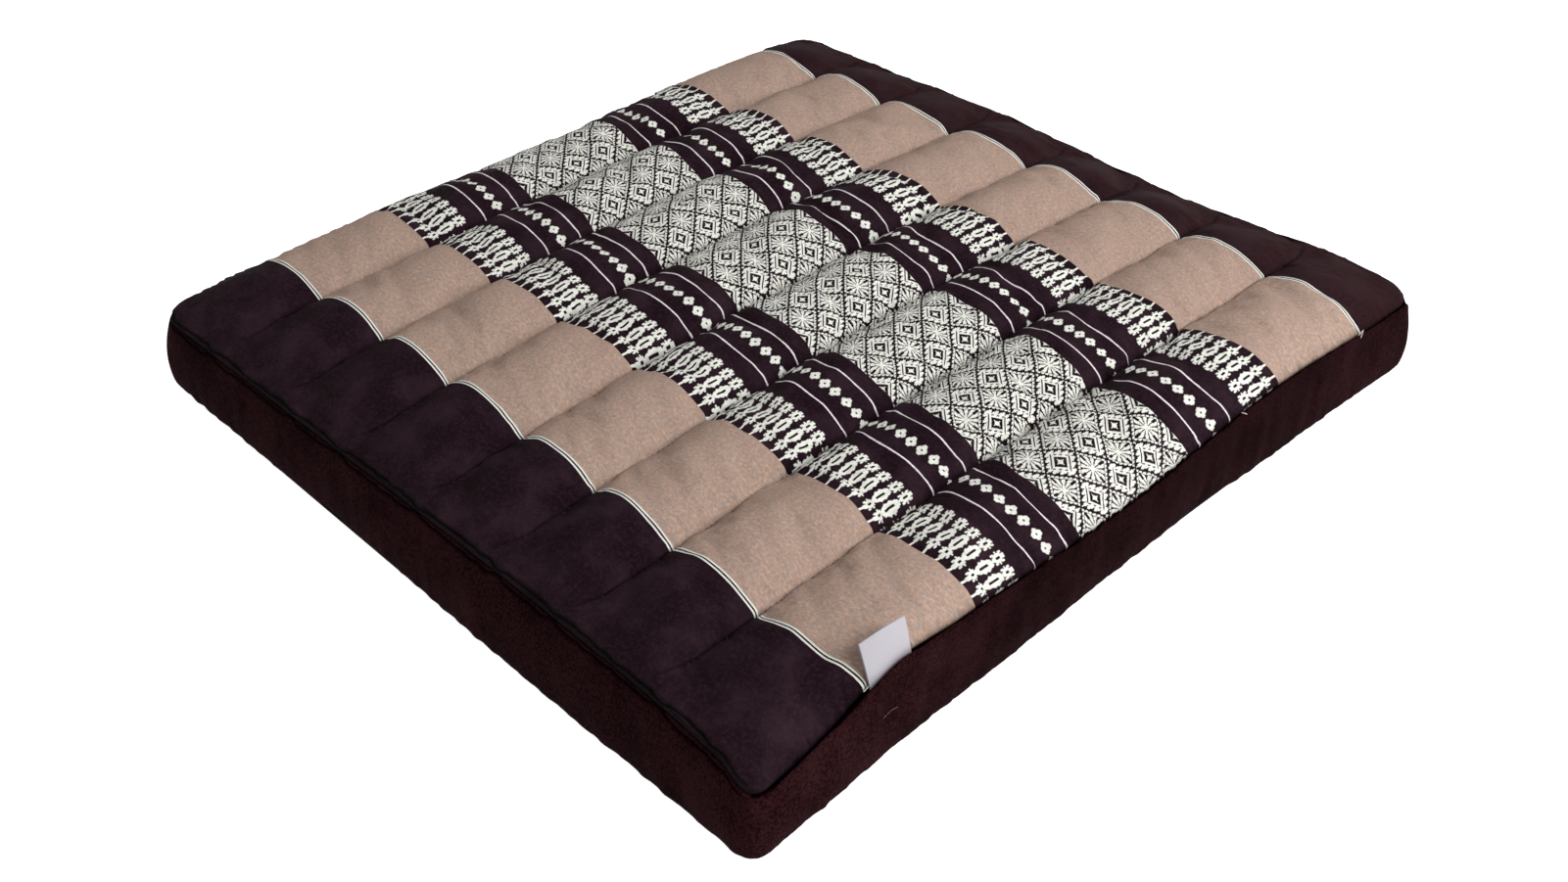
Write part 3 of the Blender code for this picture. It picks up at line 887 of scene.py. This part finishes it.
class CushionTopLooks(PropertyGroup):
    crease_depth: length("Crease depth", "How far the channel seams pull the cloth down", 0.0046)
    crease_width: length("Crease width", "From a seam to the shoulder of its crease", 0.0046)
    crease_wander: length("Crease wander", "How far the creases stray in the woven middle", 0.0013)
    stitch_line_depth: length("Plain crease depth", "Of the channel seams in the plain bands", 0.0014)
    stitch_line_width: length("Plain crease width", "From such a seam to its shoulder", 0.0024)
    lump_height: length("Lumps", "Unevenness of the filling", 0.0011)
    pucker_height: length("Puckers", "Depth of the short folds at the channel seams", 0.0024)
    gather_height: length("Gathers", "Height of the small gathers at the side seams", 0.0007)
    gather_pitch: length("Gather pitch", "From one gather to the next", 0.0056)
    gather_reach: length("Gather reach", "How far they run into the top", 0.0045)
    welt_depth: length("Welt depth", "Of the groove beside the end seams", 0.0010)
    bow: length("Bow", "How far the stripes bend back at the near side seam", 0.006)
    drag: length("Drag", "How far the pattern lags on the crowns near +X", 0.0026)
    drawn_in: length("Drawn in", "How far the -Y lines bow inwards", 0.0055)
    relief: length("Relief", "Height of the light pattern threads", 0.00022)
    wander: length("Wander", "How far the threads stray from straight", 0.0016)
    slack: FloatProperty(name="Slack", description="Share by which the cover is too large", default=0.035)
    fold_stiffness: FloatProperty(name="Fold stiffness", description="Of the cover in bending", default=0.02)
    fold_cap: length("Fold cap", "The furthest that the buckling moves the cloth", 0.004)
    fold_share: FloatProperty(name="Fold share", description="Share of the buckling that stays", default=0.8)
    seed: IntProperty(name="Seed", description="Draws another set of puckers", default=5)
    light: tint("Light thread", "Pattern thread", (0.80, 0.80, 0.74))
    light_shade: tint("Light shade", "Between its fibres", (0.58, 0.58, 0.52))
    light_gap: tint("Thread gap", "Between two light threads", (0.30, 0.30, 0.27))
    thin_line: tint("Thin line", "Thin pinkish lines", (0.70, 0.64, 0.66))
    dark: tint("Dark thread", "Plain ground", (0.0078, 0.0022, 0.0046))
    dark_worn: tint("Dark shade", "Fibres on the ground", (0.043, 0.0210, 0.0305))
    dark_far: tint("Dark far", "Browner ground at +Y", (0.030, 0.0095, 0.009))
    beige: tint("Beige", "Plain beige band", (0.348, 0.243, 0.188))
    beige_cool: tint("Beige, cool", "Grey-blue patches", (0.325, 0.245, 0.205))
    beige_warm: tint("Beige, warm", "Warm flecks", (0.58, 0.37, 0.275))
    beige_fleck: tint("Beige, grey", "Grey-blue flecks", (0.24, 0.22, 0.22))
    # also mixed in as painted shade on each channel's -X flank
    beige_brown_and_shade: tint("Beige, brown", "Brown slubs and stains", (0.14, 0.085, 0.055))


class CushionWallLooks(PropertyGroup):
    wrinkle_height: length("Wrinkles", "Depth of the walls' soft upright wrinkles", 0.0008)
    seam_groove: length("Seam groove", "How far the walls turn in under the top seam", 0.0011)
    welt_depth: length("Welt depth", "Of the groove under the end seams", 0.0010)
    dark: tint("Wall cloth", "Plain dark cotton", (0.0056, 0.0009, 0.0013))
    light: tint("Wall fibres", "Its worn fibres", (0.0245, 0.0072, 0.0088))
    base_dark: tint("Base cloth", "Cloth underneath", (0.012, 0.008, 0.010))
    base_light: tint("Base fibres", "Its worn fibres", (0.022, 0.016, 0.019))


class CushionTrimLooks(PropertyGroup):
    stitch_pitch: length("Stitch pitch", "From one stitch to the next", 0.0034)
    stitch_radius: length("Thread radius", "Of the sewing thread", 0.00028)
    hair_radius: length("Hair radius", "Of the hair on the wall", 0.00007)
    fray_radius: length("Fray radius", "Of the frayed ends", 0.00022)
    thread: tint("Sewing thread", "Brown thread", (0.055, 0.030, 0.020))
    thread_shade: tint("Thread shade", "Its twist", (0.025, 0.012, 0.010))
    fray: tint("Frayed thread", "Loose ends", (0.62, 0.58, 0.56))
    fray_shade: tint("Frayed shade", "Their twist", (0.40, 0.34, 0.33))
    satin: tint("Satin", "Tab ribbon", (0.370, 0.352, 0.380))
    satin_shade: tint("Satin shade", "Between its ribs", (0.320, 0.303, 0.331))


class CushionStage(PropertyGroup):
    floor: tint("Floor", "Floor paint", (0.60, 0.60, 0.60))
    floor_glow: FloatProperty(name="Floor glow", description="Light that the floor gives off", default=0.90)
    key: FloatProperty(name="Key light", description="Power of the large light", default=43.0, unit="POWER")
    fill: FloatProperty(name="Fill light", description="Power of the light behind", default=2.0, unit="POWER")
    sky: FloatProperty(name="Sky", description="Strength of the even surrounding light", default=0.52)
    azimuth: angle("Azimuth", "Camera's turn from the -Y side", 46.675)
    elevation: angle("Elevation", "Camera's height angle", 37.634)
    roll: angle("Roll", "Camera's tilt", -0.95)
    distance: length("Distance", "From the camera to the cushion's middle", 1.03267)
    offset_right: length("Offset right", "How far right of the line of sight the middle lies", 0.00211)
    offset_up: length("Offset up", "How far above the line of sight the middle lies", 0.04246)
    lens: FloatProperty(name="Lens", description="Focal length in millimetres", default=39.80)


# --------------------------------------------------------------------------- operators


def ring_quads(upper, lower):
    """Quads between two closed rings of vertex numbers."""
    return np.stack([upper, lower, np.roll(lower, -1), np.roll(upper, -1)], axis=1)


def ring_fan(ring, centre):
    """Triangles from a closed ring of vertex numbers to one vertex."""
    return np.stack([ring, np.full_like(ring, centre), np.roll(ring, -1)], axis=1)


def numbered(first, count, size):
    """Vertex numbers of count rings of one size, one after another."""
    return first + np.arange(count * size).reshape(count, size)


def band_map(count, *corners):
    """Bake map of a band of faces, once round from 0 to 1: a corner is its share of a step and its level."""
    here = np.arange(count)
    sides = [np.stack([(here + step) / count, np.full(count, level)], axis=1) for step, level in corners]
    return np.stack(sides, axis=1)


def hidden_sides(flat):
    """Rings of the body's sides under its strip: in from the top seam, then down to the base."""
    inset = CLOTH + STRIP_GAP
    upper = [wall_ring(flat, 1.0, tuck, drop=CLOTH) for tuck in (SEAM_TUCK, inset)]
    lower = [wall_ring(flat, share, inset - wall_sway(flat, share)) for share in (1.0, 0.66, 0.33, 0.0)]
    return upper + lower


class CUSHION_OT_woven_top(Operator):
    """Makes the filled body: woven top panel with its sewn channels, and the plain sides it hides"""

    bl_idname = "cushion.woven_top"
    bl_label = "Woven top"

    def execute(self, context):
        looks = context.scene.cushion_top
        points = sewn_top(looks)
        cloth = cloth_map(smooth_top(), looks).reshape(-1, 2)
        points = points + looks.fold_share * on_fine_grid(simulated_folds(looks))
        columns, rows = points.shape[:2]
        size = columns * rows
        index = np.arange(size).reshape(columns, rows)
        sides = hidden_sides(edge_loop())
        loop, count = border_of(index), len(sides[0])
        rings = [loop, *numbered(size, len(sides), count)]
        centre = size + count * len(sides)
        vertices = np.concatenate([points.reshape(-1, 3), *sides, [[0.0, 0.0, CLOTH + GAP]]])
        top = grid_faces(index)
        faces = [top, *(ring_quads(*pair) for pair in zip(rings, rings[1:])), ring_fan(rings[-1], centre)]

        shares = np.stack([index // rows / (columns - 1), index % rows / (rows - 1)], axis=2).reshape(-1, 2)
        bake = shares * (1.0, 1.0 - SIDES_SHARE) + (0.0, SIDES_SHARE)
        levels = np.linspace(SIDES_SHARE * 0.95, SIDES_SHARE * 0.05, len(sides) + 2)
        bands = [
            band_map(count, (0.0, high), (0.0, low), (1.0, low), (1.0, high))
            for high, low in zip(levels, levels[1:-1])
        ]
        closing = band_map(count, (0.0, levels[-2]), (0.5, levels[-1]), (1.0, levels[-2]))
        around = ring_quads(loop, loop)
        maps = {
            "OFBake": [bake[top], *bands, closing],
            "cloth": [cloth[top], *[cloth[around]] * len(sides), cloth[around[:, :3]]],
        }
        shade = np.concatenate([top_shade(looks).ravel(), np.full(len(vertices) - size, HIDDEN_SHADE)])
        piece = add_piece("woven_top", vertices, faces, woven_material(looks), "woven_panel", maps, shade)
        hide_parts("filled_body")
        return {"FINISHED"}


def wall_sway(flat, share):
    """How far the loose strip stands out from its even shape: the bulges, full at the foot and none at the
    top, and a fine unevenness by the foot."""
    x, y = flat
    places = {"+X": (WIDTH / 2 - x, y), "-X": (WIDTH / 2 + x, y), "-Y": (DEPTH / 2 + y, x)}
    total = np.zeros(x.shape)
    for bulge in BULGES:
        distance, along = places[bulge.wall]
        total += (distance < EDGE) * bulge.push * np.exp(-(((along - bulge.middle) / bulge.reach) ** 2))
    fine = 0.0005 * waves(x + y, x - y, 29, 16, 0.006, 0.020) * (1.0 - share) ** 3
    return total * (1.0 - share**2) + fine


def wall_wear_and_shade(y, at_side):
    """How light the strip's cloth is, as painted shade with some wear: along the +X wall full by the -Y corner,
    where the cloth is worn lighter, then less as painted shade, and a little more towards +Y as painted light.
    The other walls get an even painted shade."""
    side = 1.0 - 0.45 * smooth_step((y + 0.20) / 0.11) + 0.20 * smooth_step((y - 0.10) / 0.10)
    return np.where(at_side, side, 0.80)


def strip_rings(looks, flat):
    """Rings of the walls, from the top seam down the outside, and back up the inside, and the shade of each
    point. Outside, soft upright wrinkles fade towards both seams, the top edge turns in, the end walls have a
    groove under the seam, and the +X wall stands up as a roll, fullest by the tab."""
    x, y = flat
    height = SEAM_HEIGHT - 2.0 * CLOTH - GAP - STRIP_GAP
    at_end = DEPTH / 2 - np.abs(y) < EDGE
    at_side = WIDTH / 2 - x < EDGE
    uneven = 1.0 + 0.10 * waves(y, 0.0, 35, 9, 0.01, 0.04)
    roll = at_side * uneven * smooth_step((DEPTH / 2 - 0.005 - np.abs(y)) / 0.016)
    by_tab = smooth_step((0.040 - np.abs(y - ROLL_MIDDLE)) / 0.020)
    fullness = ROLL_LEAST + (1.0 - ROLL_LEAST) * by_tab
    # painted shade along the walls, with the cloth worn lighter by the -Y corner of the +X wall
    wear_and_shade = wall_wear_and_shade(y, at_side)
    along = np.cumsum(np.hypot(*(np.roll(c, -1) - c for c in plan(*flat, TOP_OUTLINE))))
    rings, shades = [], []
    for under in (*STRIP_TOP_ROWS, *np.linspace(STRIP_TOP_ROWS[-1], height, WALL_STEPS + 1)[1:]):
        share = 1.0 - under / height
        wrinkle = waves(along, np.full_like(along, share * 0.01), 21, 26, 0.012, 0.06)
        fine = waves(along, np.full_like(along, share * 0.02), 23, 26, 0.006, 0.018) * share**2
        swell = looks.wrinkle_height * (wrinkle + 0.5 * fine) * np.sin(np.pi * share) ** 0.5
        turn = looks.seam_groove * np.clip(1.0 - under / 0.0022, 0.0, 1.0) ** 2 * (1.0 - 0.7 * at_end)
        groove = at_end * end_groove(x, y, STRIP_GROOVE - CLOTH, np.full_like(x, under))
        turn = turn + looks.welt_depth * groove
        stand_out = roll * fullness * np.interp(under, ROLL_UNDER, ROLL_OUT)
        inset = turn - swell - wall_sway(flat, share) - stand_out
        ring = wall_ring(flat, share, inset, drop=CLOTH + STRIP_GAP)
        ring[:, 2] += roll * np.interp(under, ROLL_UNDER, ROLL_UP)
        rings.append(ring)
        dark = 0.95 * smooth_step(1.4 - under / 0.0012) * (1.0 - at_end)
        shades.append((1.0 - dark) * (1.0 - 0.95 * groove) * wear_and_shade)
    for share in np.linspace(0.0, 1.0, 5):
        inset = CLOTH + 0.0001 - wall_sway(flat, share)
        rings.append(wall_ring(flat, share, inset, drop=CLOTH + STRIP_GAP))
        shades.append(np.full_like(x, 0.3))
    return rings, np.concatenate(shades)


class CUSHION_OT_side_strip(Operator):
    """Makes the plain dark strip of cloth that forms the four walls"""

    bl_idname = "cushion.side_strip"
    bl_label = "Side strip"

    def execute(self, context):
        looks = context.scene.cushion_walls
        rings, shade = strip_rings(looks, edge_loop())
        index = numbered(0, len(rings), len(rings[0]))
        faces = [ring_quads(*pair) for pair in zip(index, np.roll(index, -1, axis=0))]
        cloth = plain_material("wall_cloth", looks.dark, looks.light, shaded=True)
        piece = add_piece("wall_strip", np.concatenate(rings), faces, cloth, "wall_cloth", shade=shade)
        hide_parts("side_strip")
        return {"FINISHED"}


class CUSHION_OT_base_panel(Operator):
    """Makes the flat cloth underneath"""

    bl_idname = "cushion.base_panel"
    bl_label = "Base panel"

    def execute(self, context):
        looks = context.scene.cushion_walls
        edge = wall_ring(edge_loop(), 0.0, BASE_INSET - FOOT_ROLL, lowest=0.0)
        shares = (1.0, 0.75, 0.5, 0.25)
        upper = [edge * (share, share, 0.0) + (0.0, 0.0, CLOTH) for share in shares[::-1]]
        lower = [edge * (share, share, 0.0) for share in shares]
        vertices = np.concatenate([[[0.0, 0.0, CLOTH], [0.0, 0.0, 0.0]], *upper, *lower])
        rings = numbered(2, 2 * len(shares), len(edge))
        faces = [ring_fan(rings[0][::-1], 0), *(ring_quads(*pair) for pair in zip(rings, rings[1:]))]
        faces.append(ring_fan(rings[-1], 1))
        cloth = plain_material("base_cloth", looks.base_dark, looks.base_light)
        piece = add_piece("base_cloth_panel", vertices, faces, cloth, "base_cloth")
        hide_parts("base_panel")
        return {"FINISHED"}


def ribbon_section():
    """X and Z of the folded ribbon's closed section: up, round the fold and down along its outer face, and
    back along its inner face, half a thickness either side of a straight-sided loop."""
    up = np.linspace(0.0, 1.0, TAB_ROWS)
    turn = np.linspace(0.0, np.pi, 7)[1:-1]
    top = TAB_HEIGHT_FROM - FOLD_RADIUS
    side = np.full(TAB_ROWS, FOLD_RADIUS)
    path_x = np.concatenate([side, FOLD_RADIUS * np.cos(turn), -side])
    path_z = np.concatenate([up * top, top + FOLD_RADIUS * np.sin(turn), up[::-1] * top])
    step = np.gradient(np.stack([path_x, path_z]), axis=1)
    step /= np.hypot(*step)
    away = RIBBON / 2 * np.stack([step[1], -step[0]])
    path = np.stack([path_x, path_z])
    return np.concatenate([path + away, (path - away)[:, ::-1]], axis=1)


class CUSHION_OT_folded_tab(Operator):
    """Makes the bare satin tab, folded over at its top, in the +X seam"""

    bl_idname = "cushion.folded_tab"
    bl_label = "Folded tab"

    def execute(self, context):
        section_x, section_z = ribbon_section()
        along = np.linspace(0.0, 1.0, TAB_COLUMNS + 1)[:, None]
        rise = np.clip(section_z / TAB_HEIGHT_FROM, 0.0, 1.0)
        shorter = 1.0 - (1.0 - TAB_HEIGHT_TO / TAB_HEIGHT_FROM) * along
        y = TAB_FROM + (TAB_TO - TAB_FROM) * along
        lean = (TAB_LEAN_FROM + (TAB_LEAN_TO - TAB_LEAN_FROM) * along + TAB_EXTRA_LEAN) * rise**1.2
        curl = TAB_CURL * 4.0 * along * (1.0 - along) * rise
        wall_x = np.full_like(y, WIDTH / 2)
        foot_x = plan(wall_x, y, TOP_OUTLINE)[0] + wall_push(SEAM_HEIGHT - CLOTH)
        x = foot_x + TAB_CLEARANCE + TAB_THICKNESS / 2 - lean + curl + section_x
        z = seam_height(wall_x, y) - CLOTH + section_z * shorter
        vertices = np.stack([x, np.broadcast_to(y, x.shape), z], axis=2)
        index = numbered(0, *x.shape)
        half = len(section_x) // 2
        ends = []
        for column in (index[0], index[-1][::-1]):
            near, far = column[:half], column[::-1][:half]
            ends.append(np.stack([near[:-1], near[1:], far[1:], far[:-1]], axis=1))
        faces = [grid_faces(np.concatenate([index, index[:, :1]], axis=1)), *ends]
        satin = satin_material(context.scene.cushion_trim)
        piece = add_piece("tab_ribbon", vertices.reshape(-1, 3), faces, satin, "tab_satin")
        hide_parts("label_tab")
        return {"FINISHED"}


def unit(vectors):
    """The same directions, each of length 1."""
    return vectors / np.linalg.norm(vectors, axis=1, keepdims=True)


def spokes(along, aside, sides):
    """Unit vectors round each direction: cos t across + sin t up, with across square to it and to aside."""
    across = unit(np.cross(along, aside))
    up = np.cross(across, along)
    turn = 2.0 * np.pi * np.arange(sides)[:, None] / sides
    return np.cos(turn) * across[:, None] + np.sin(turn) * up[:, None]


def capsules(starts, ends, radius, sides=6):
    """Short round-ended threads between pairs of points: rings of 0.55, 1, 1 and 0.55 of the radius, with a
    point at each end. Returns the vertices and the faces."""
    shares = np.array([0.06, 0.25, 0.75, 0.94])[:, None, None]
    sizes = np.array([0.55, 1.0, 1.0, 0.55])[:, None, None] * radius
    spine = starts[:, None, None] + (ends - starts)[:, None, None] * shares
    rings = spine + spokes(unit(ends - starts), (0.0, 0.0, 1.0), sides)[:, None] * sizes
    count = len(starts)
    points = np.concatenate([rings.reshape(count, -1, 3), starts[:, None], ends[:, None]], axis=1)
    index = numbered(0, len(shares), sides)
    after = np.roll(index, -1, axis=1)
    quads = np.stack([index[:-1], after[:-1], after[1:], index[1:]], axis=2).reshape(-1, 4)
    first, last = np.full(sides, index.size), np.full(sides, index.size + 1)
    caps = [np.stack(cap, axis=1) for cap in ((first, after[0], index[0]), (last, index[-1], after[-1]))]
    caps = np.concatenate(caps)
    firsts = points.shape[1] * np.arange(count)[:, None, None]
    return points.reshape(-1, 3), [(quads + firsts).reshape(-1, 4), (caps + firsts).reshape(-1, 3)]


class CUSHION_OT_channel_stitches(Operator):
    """Makes the rows of brown stitches along the channel seams"""

    bl_idname = "cushion.channel_stitches"
    bl_label = "Channel stitches"

    def execute(self, context):
        trim, looks = context.scene.cushion_trim, context.scene.cushion_top
        rng = np.random.default_rng(31)
        starts, ends = [], []
        for seam in channel_seams()[1:-1]:
            y = np.arange(-DEPTH / 2 + 0.022, DEPTH / 2 - 0.022, trim.stitch_pitch)
            y = y + rng.uniform(-0.0003, 0.0003, len(y))
            x = np.full_like(y, seam)
            for at_y, points in ((y, starts), (y + 0.42 * trim.stitch_pitch, ends)):
                z = top_height(x, at_y) - crease(x, at_y, looks) + trim.stitch_radius / 2
                points.append(np.stack([*plan(x, at_y, TOP_OUTLINE), z], axis=1))
        vertices, faces = capsules(np.concatenate(starts), np.concatenate(ends), trim.stitch_radius)
        thread = thread_material("sewing_thread", trim.thread, trim.thread_shade)
        add_piece("channel_stitches", vertices, faces, thread, "woven_panel")
        return {"FINISHED"}


def loose_thread(path, radius, sides=5):
    """A thin round thread along a path of points. Returns the vertices and the faces."""
    rings = path[:, None] + radius * spokes(unit(np.gradient(path, axis=0)), (0.31, 0.17, 0.93), sides)
    index = numbered(0, len(path), sides)
    quads = grid_faces(np.concatenate([index, index[:, :1]], axis=1))
    return rings.reshape(-1, 3), [quads, index[:1, ::-1], index[-1:]]


def seam_point(y, out, up):
    """A point beside the +X seam at y, so far out from the wall and up from the seam."""
    edge = np.full_like(y, WIDTH / 2)
    x = plan(edge, y, TOP_OUTLINE)[0]
    return np.stack([x + out, y, seam_height(edge, y) + up], axis=1)


class CUSHION_OT_loose_threads(Operator):
    """Makes the hair on the +X wall and the frayed thread ends in its seam"""

    bl_idname = "cushion.loose_threads"
    bl_label = "Loose threads"

    def execute(self, context):
        trim = context.scene.cushion_trim
        t = np.linspace(0.0, 1.0, 28)
        fall = -0.0235 + 0.0026 * np.sin(6.0 * t) * (1.0 - 0.3 * t)
        hair = seam_point(-0.178 - 0.027 * t, 0.0053 + 0.0004 * np.sin(7.0 * t), fall)
        s = np.linspace(0.0, 1.0, 9)
        ends = [
            seam_point(-0.1945 - 0.0035 * s, 0.0022 + 0.0005 * s, 0.0030 + 0.0010 * s**2),
            seam_point(0.2010 - 0.0040 * s, 0.0030 + 0.0014 * s, 0.0038 - 0.0022 * s),
            seam_point(0.2020 - 0.0060 * s, 0.0026 + 0.0010 * s, 0.0040 - 0.0006 * s**2),
            seam_point(0.0850 + 0.0030 * s, 0.0028 + 0.0014 * s, 0.0038 - 0.0020 * s),
        ]
        stray = thread_material("stray_hair", trim.thread, trim.fray_shade)
        add_piece("wall_hair", *loose_thread(hair, trim.hair_radius), stray, None)
        fray = thread_material("frayed_thread", trim.fray, trim.fray_shade)
        for number, end in enumerate(ends):
            add_piece(f"frayed_end_{number}", *loose_thread(end, trim.fray_radius), fray, None)
        return {"FINISHED"}


class CUSHION_OT_stage(Operator):
    """Sets up the plain pale floor, the soft lights and the camera"""

    bl_idname = "cushion.stage"
    bl_label = "Stage"

    def execute(self, context):
        stage = context.scene.cushion_stage
        self.add_floor(stage)
        self.add_lights(context, stage)
        self.add_camera(context, stage)
        context.scene.view_settings.view_transform = "Standard"
        return {"FINISHED"}

    @staticmethod
    def add_floor(stage):
        """A level square, 12 m across, just under the cushion."""
        half, drop = 6.0, 0.0002
        mesh = bpy.data.meshes.new("floor")
        corners = [(-half, -half, -drop), (half, -half, -drop), (half, half, -drop), (-half, half, -drop)]
        mesh.from_pydata(corners, [], [(0, 1, 2, 3)])
        mesh.materials.append(floor_material(stage))
        floor = bpy.data.objects.new("floor", mesh)
        bpy.context.scene.collection.objects.link(floor)

    @staticmethod
    def add_lights(context, stage):
        """Two large soft panels that face the cushion, and an even white surround."""
        places = (
            ("key_light", (1.6, 0.6, 1.25), 1.2, stage.key),
            ("fill_light", (-1.6, -1.5, 1.8), 1.6, stage.fill),
        )
        for name, place, size, power in places:
            light = bpy.data.lights.new(name, "AREA")
            light.size = size
            light.energy = power
            lamp = bpy.data.objects.new(name, light)
            lamp.location = place
            lamp.rotation_euler = Vector(place).to_track_quat("Z", "Y").to_euler()
            context.scene.collection.objects.link(lamp)
        world = bpy.data.worlds.new("even_surround")
        world.use_nodes = True
        background = world.node_tree.nodes["Background"]
        background.inputs["Color"].default_value = (1.0, 1.0, 1.0, 1.0)
        background.inputs["Strength"].default_value = stage.sky
        context.scene.world = world

    @staticmethod
    def add_camera(context, stage):
        """Back, right and up follow from the two angles, and roll turns right and up about back."""
        a, e = stage.azimuth, stage.elevation
        right = Vector((np.cos(a), np.sin(a), 0.0))
        back = Vector((np.sin(a) * np.cos(e), -np.cos(a) * np.cos(e), np.sin(e)))
        up = back.cross(right)
        turn = Matrix.Rotation(stage.roll, 3, back)
        right, up = turn @ right, turn @ up
        place = back * stage.distance - right * stage.offset_right - up * stage.offset_up
        camera = bpy.data.objects.new("camera", bpy.data.cameras.new("camera"))
        camera.data.lens = stage.lens
        turned = Matrix((right, up, back)).transposed().to_4x4()
        camera.matrix_world = Matrix.Translation(place) @ turned
        context.scene.collection.objects.link(camera)
        context.scene.camera = camera


class CUSHION_PT_panel(Panel):
    """Lists the pieces of the cushion, in the order they are made"""

    bl_label = "Floor cushion"
    bl_idname = "CUSHION_PT_panel"
    bl_space_type = "VIEW_3D"
    bl_region_type = "UI"
    bl_category = "Cushion"

    def draw(self, context):
        for operator in OPERATORS:
            self.layout.operator(operator.bl_idname)
        for name in SETTINGS:
            box = self.layout.box()
            settings = getattr(context.scene, name)
            for field in settings.bl_rna.properties:
                if not field.is_readonly and field.identifier != "name":
                    box.prop(settings, field.identifier)


OPERATORS = (
    CUSHION_OT_woven_top,
    CUSHION_OT_side_strip,
    CUSHION_OT_base_panel,
    CUSHION_OT_folded_tab,
    CUSHION_OT_channel_stitches,
    CUSHION_OT_loose_threads,
    CUSHION_OT_stage,
)
SETTINGS = {
    "cushion_top": CushionTopLooks,
    "cushion_walls": CushionWallLooks,
    "cushion_trim": CushionTrimLooks,
    "cushion_stage": CushionStage,
}


def register():
    for group in (*SETTINGS.values(), *OPERATORS, CUSHION_PT_panel):
        bpy.utils.register_class(group)
    for name, group in SETTINGS.items():
        setattr(bpy.types.Scene, name, PointerProperty(type=group))


def unregister():
    for name in SETTINGS:
        delattr(bpy.types.Scene, name)
    for group in reversed((*SETTINGS.values(), *OPERATORS, CUSHION_PT_panel)):
        bpy.utils.unregister_class(group)


def main():
    register()
    bpy.ops.cushion.woven_top()
    bpy.ops.cushion.side_strip()
    bpy.ops.cushion.base_panel()
    bpy.ops.cushion.folded_tab()
    bpy.ops.cushion.channel_stitches()
    bpy.ops.cushion.loose_threads()
    bpy.ops.cushion.stage()


if __name__ == "__main__":
    main()
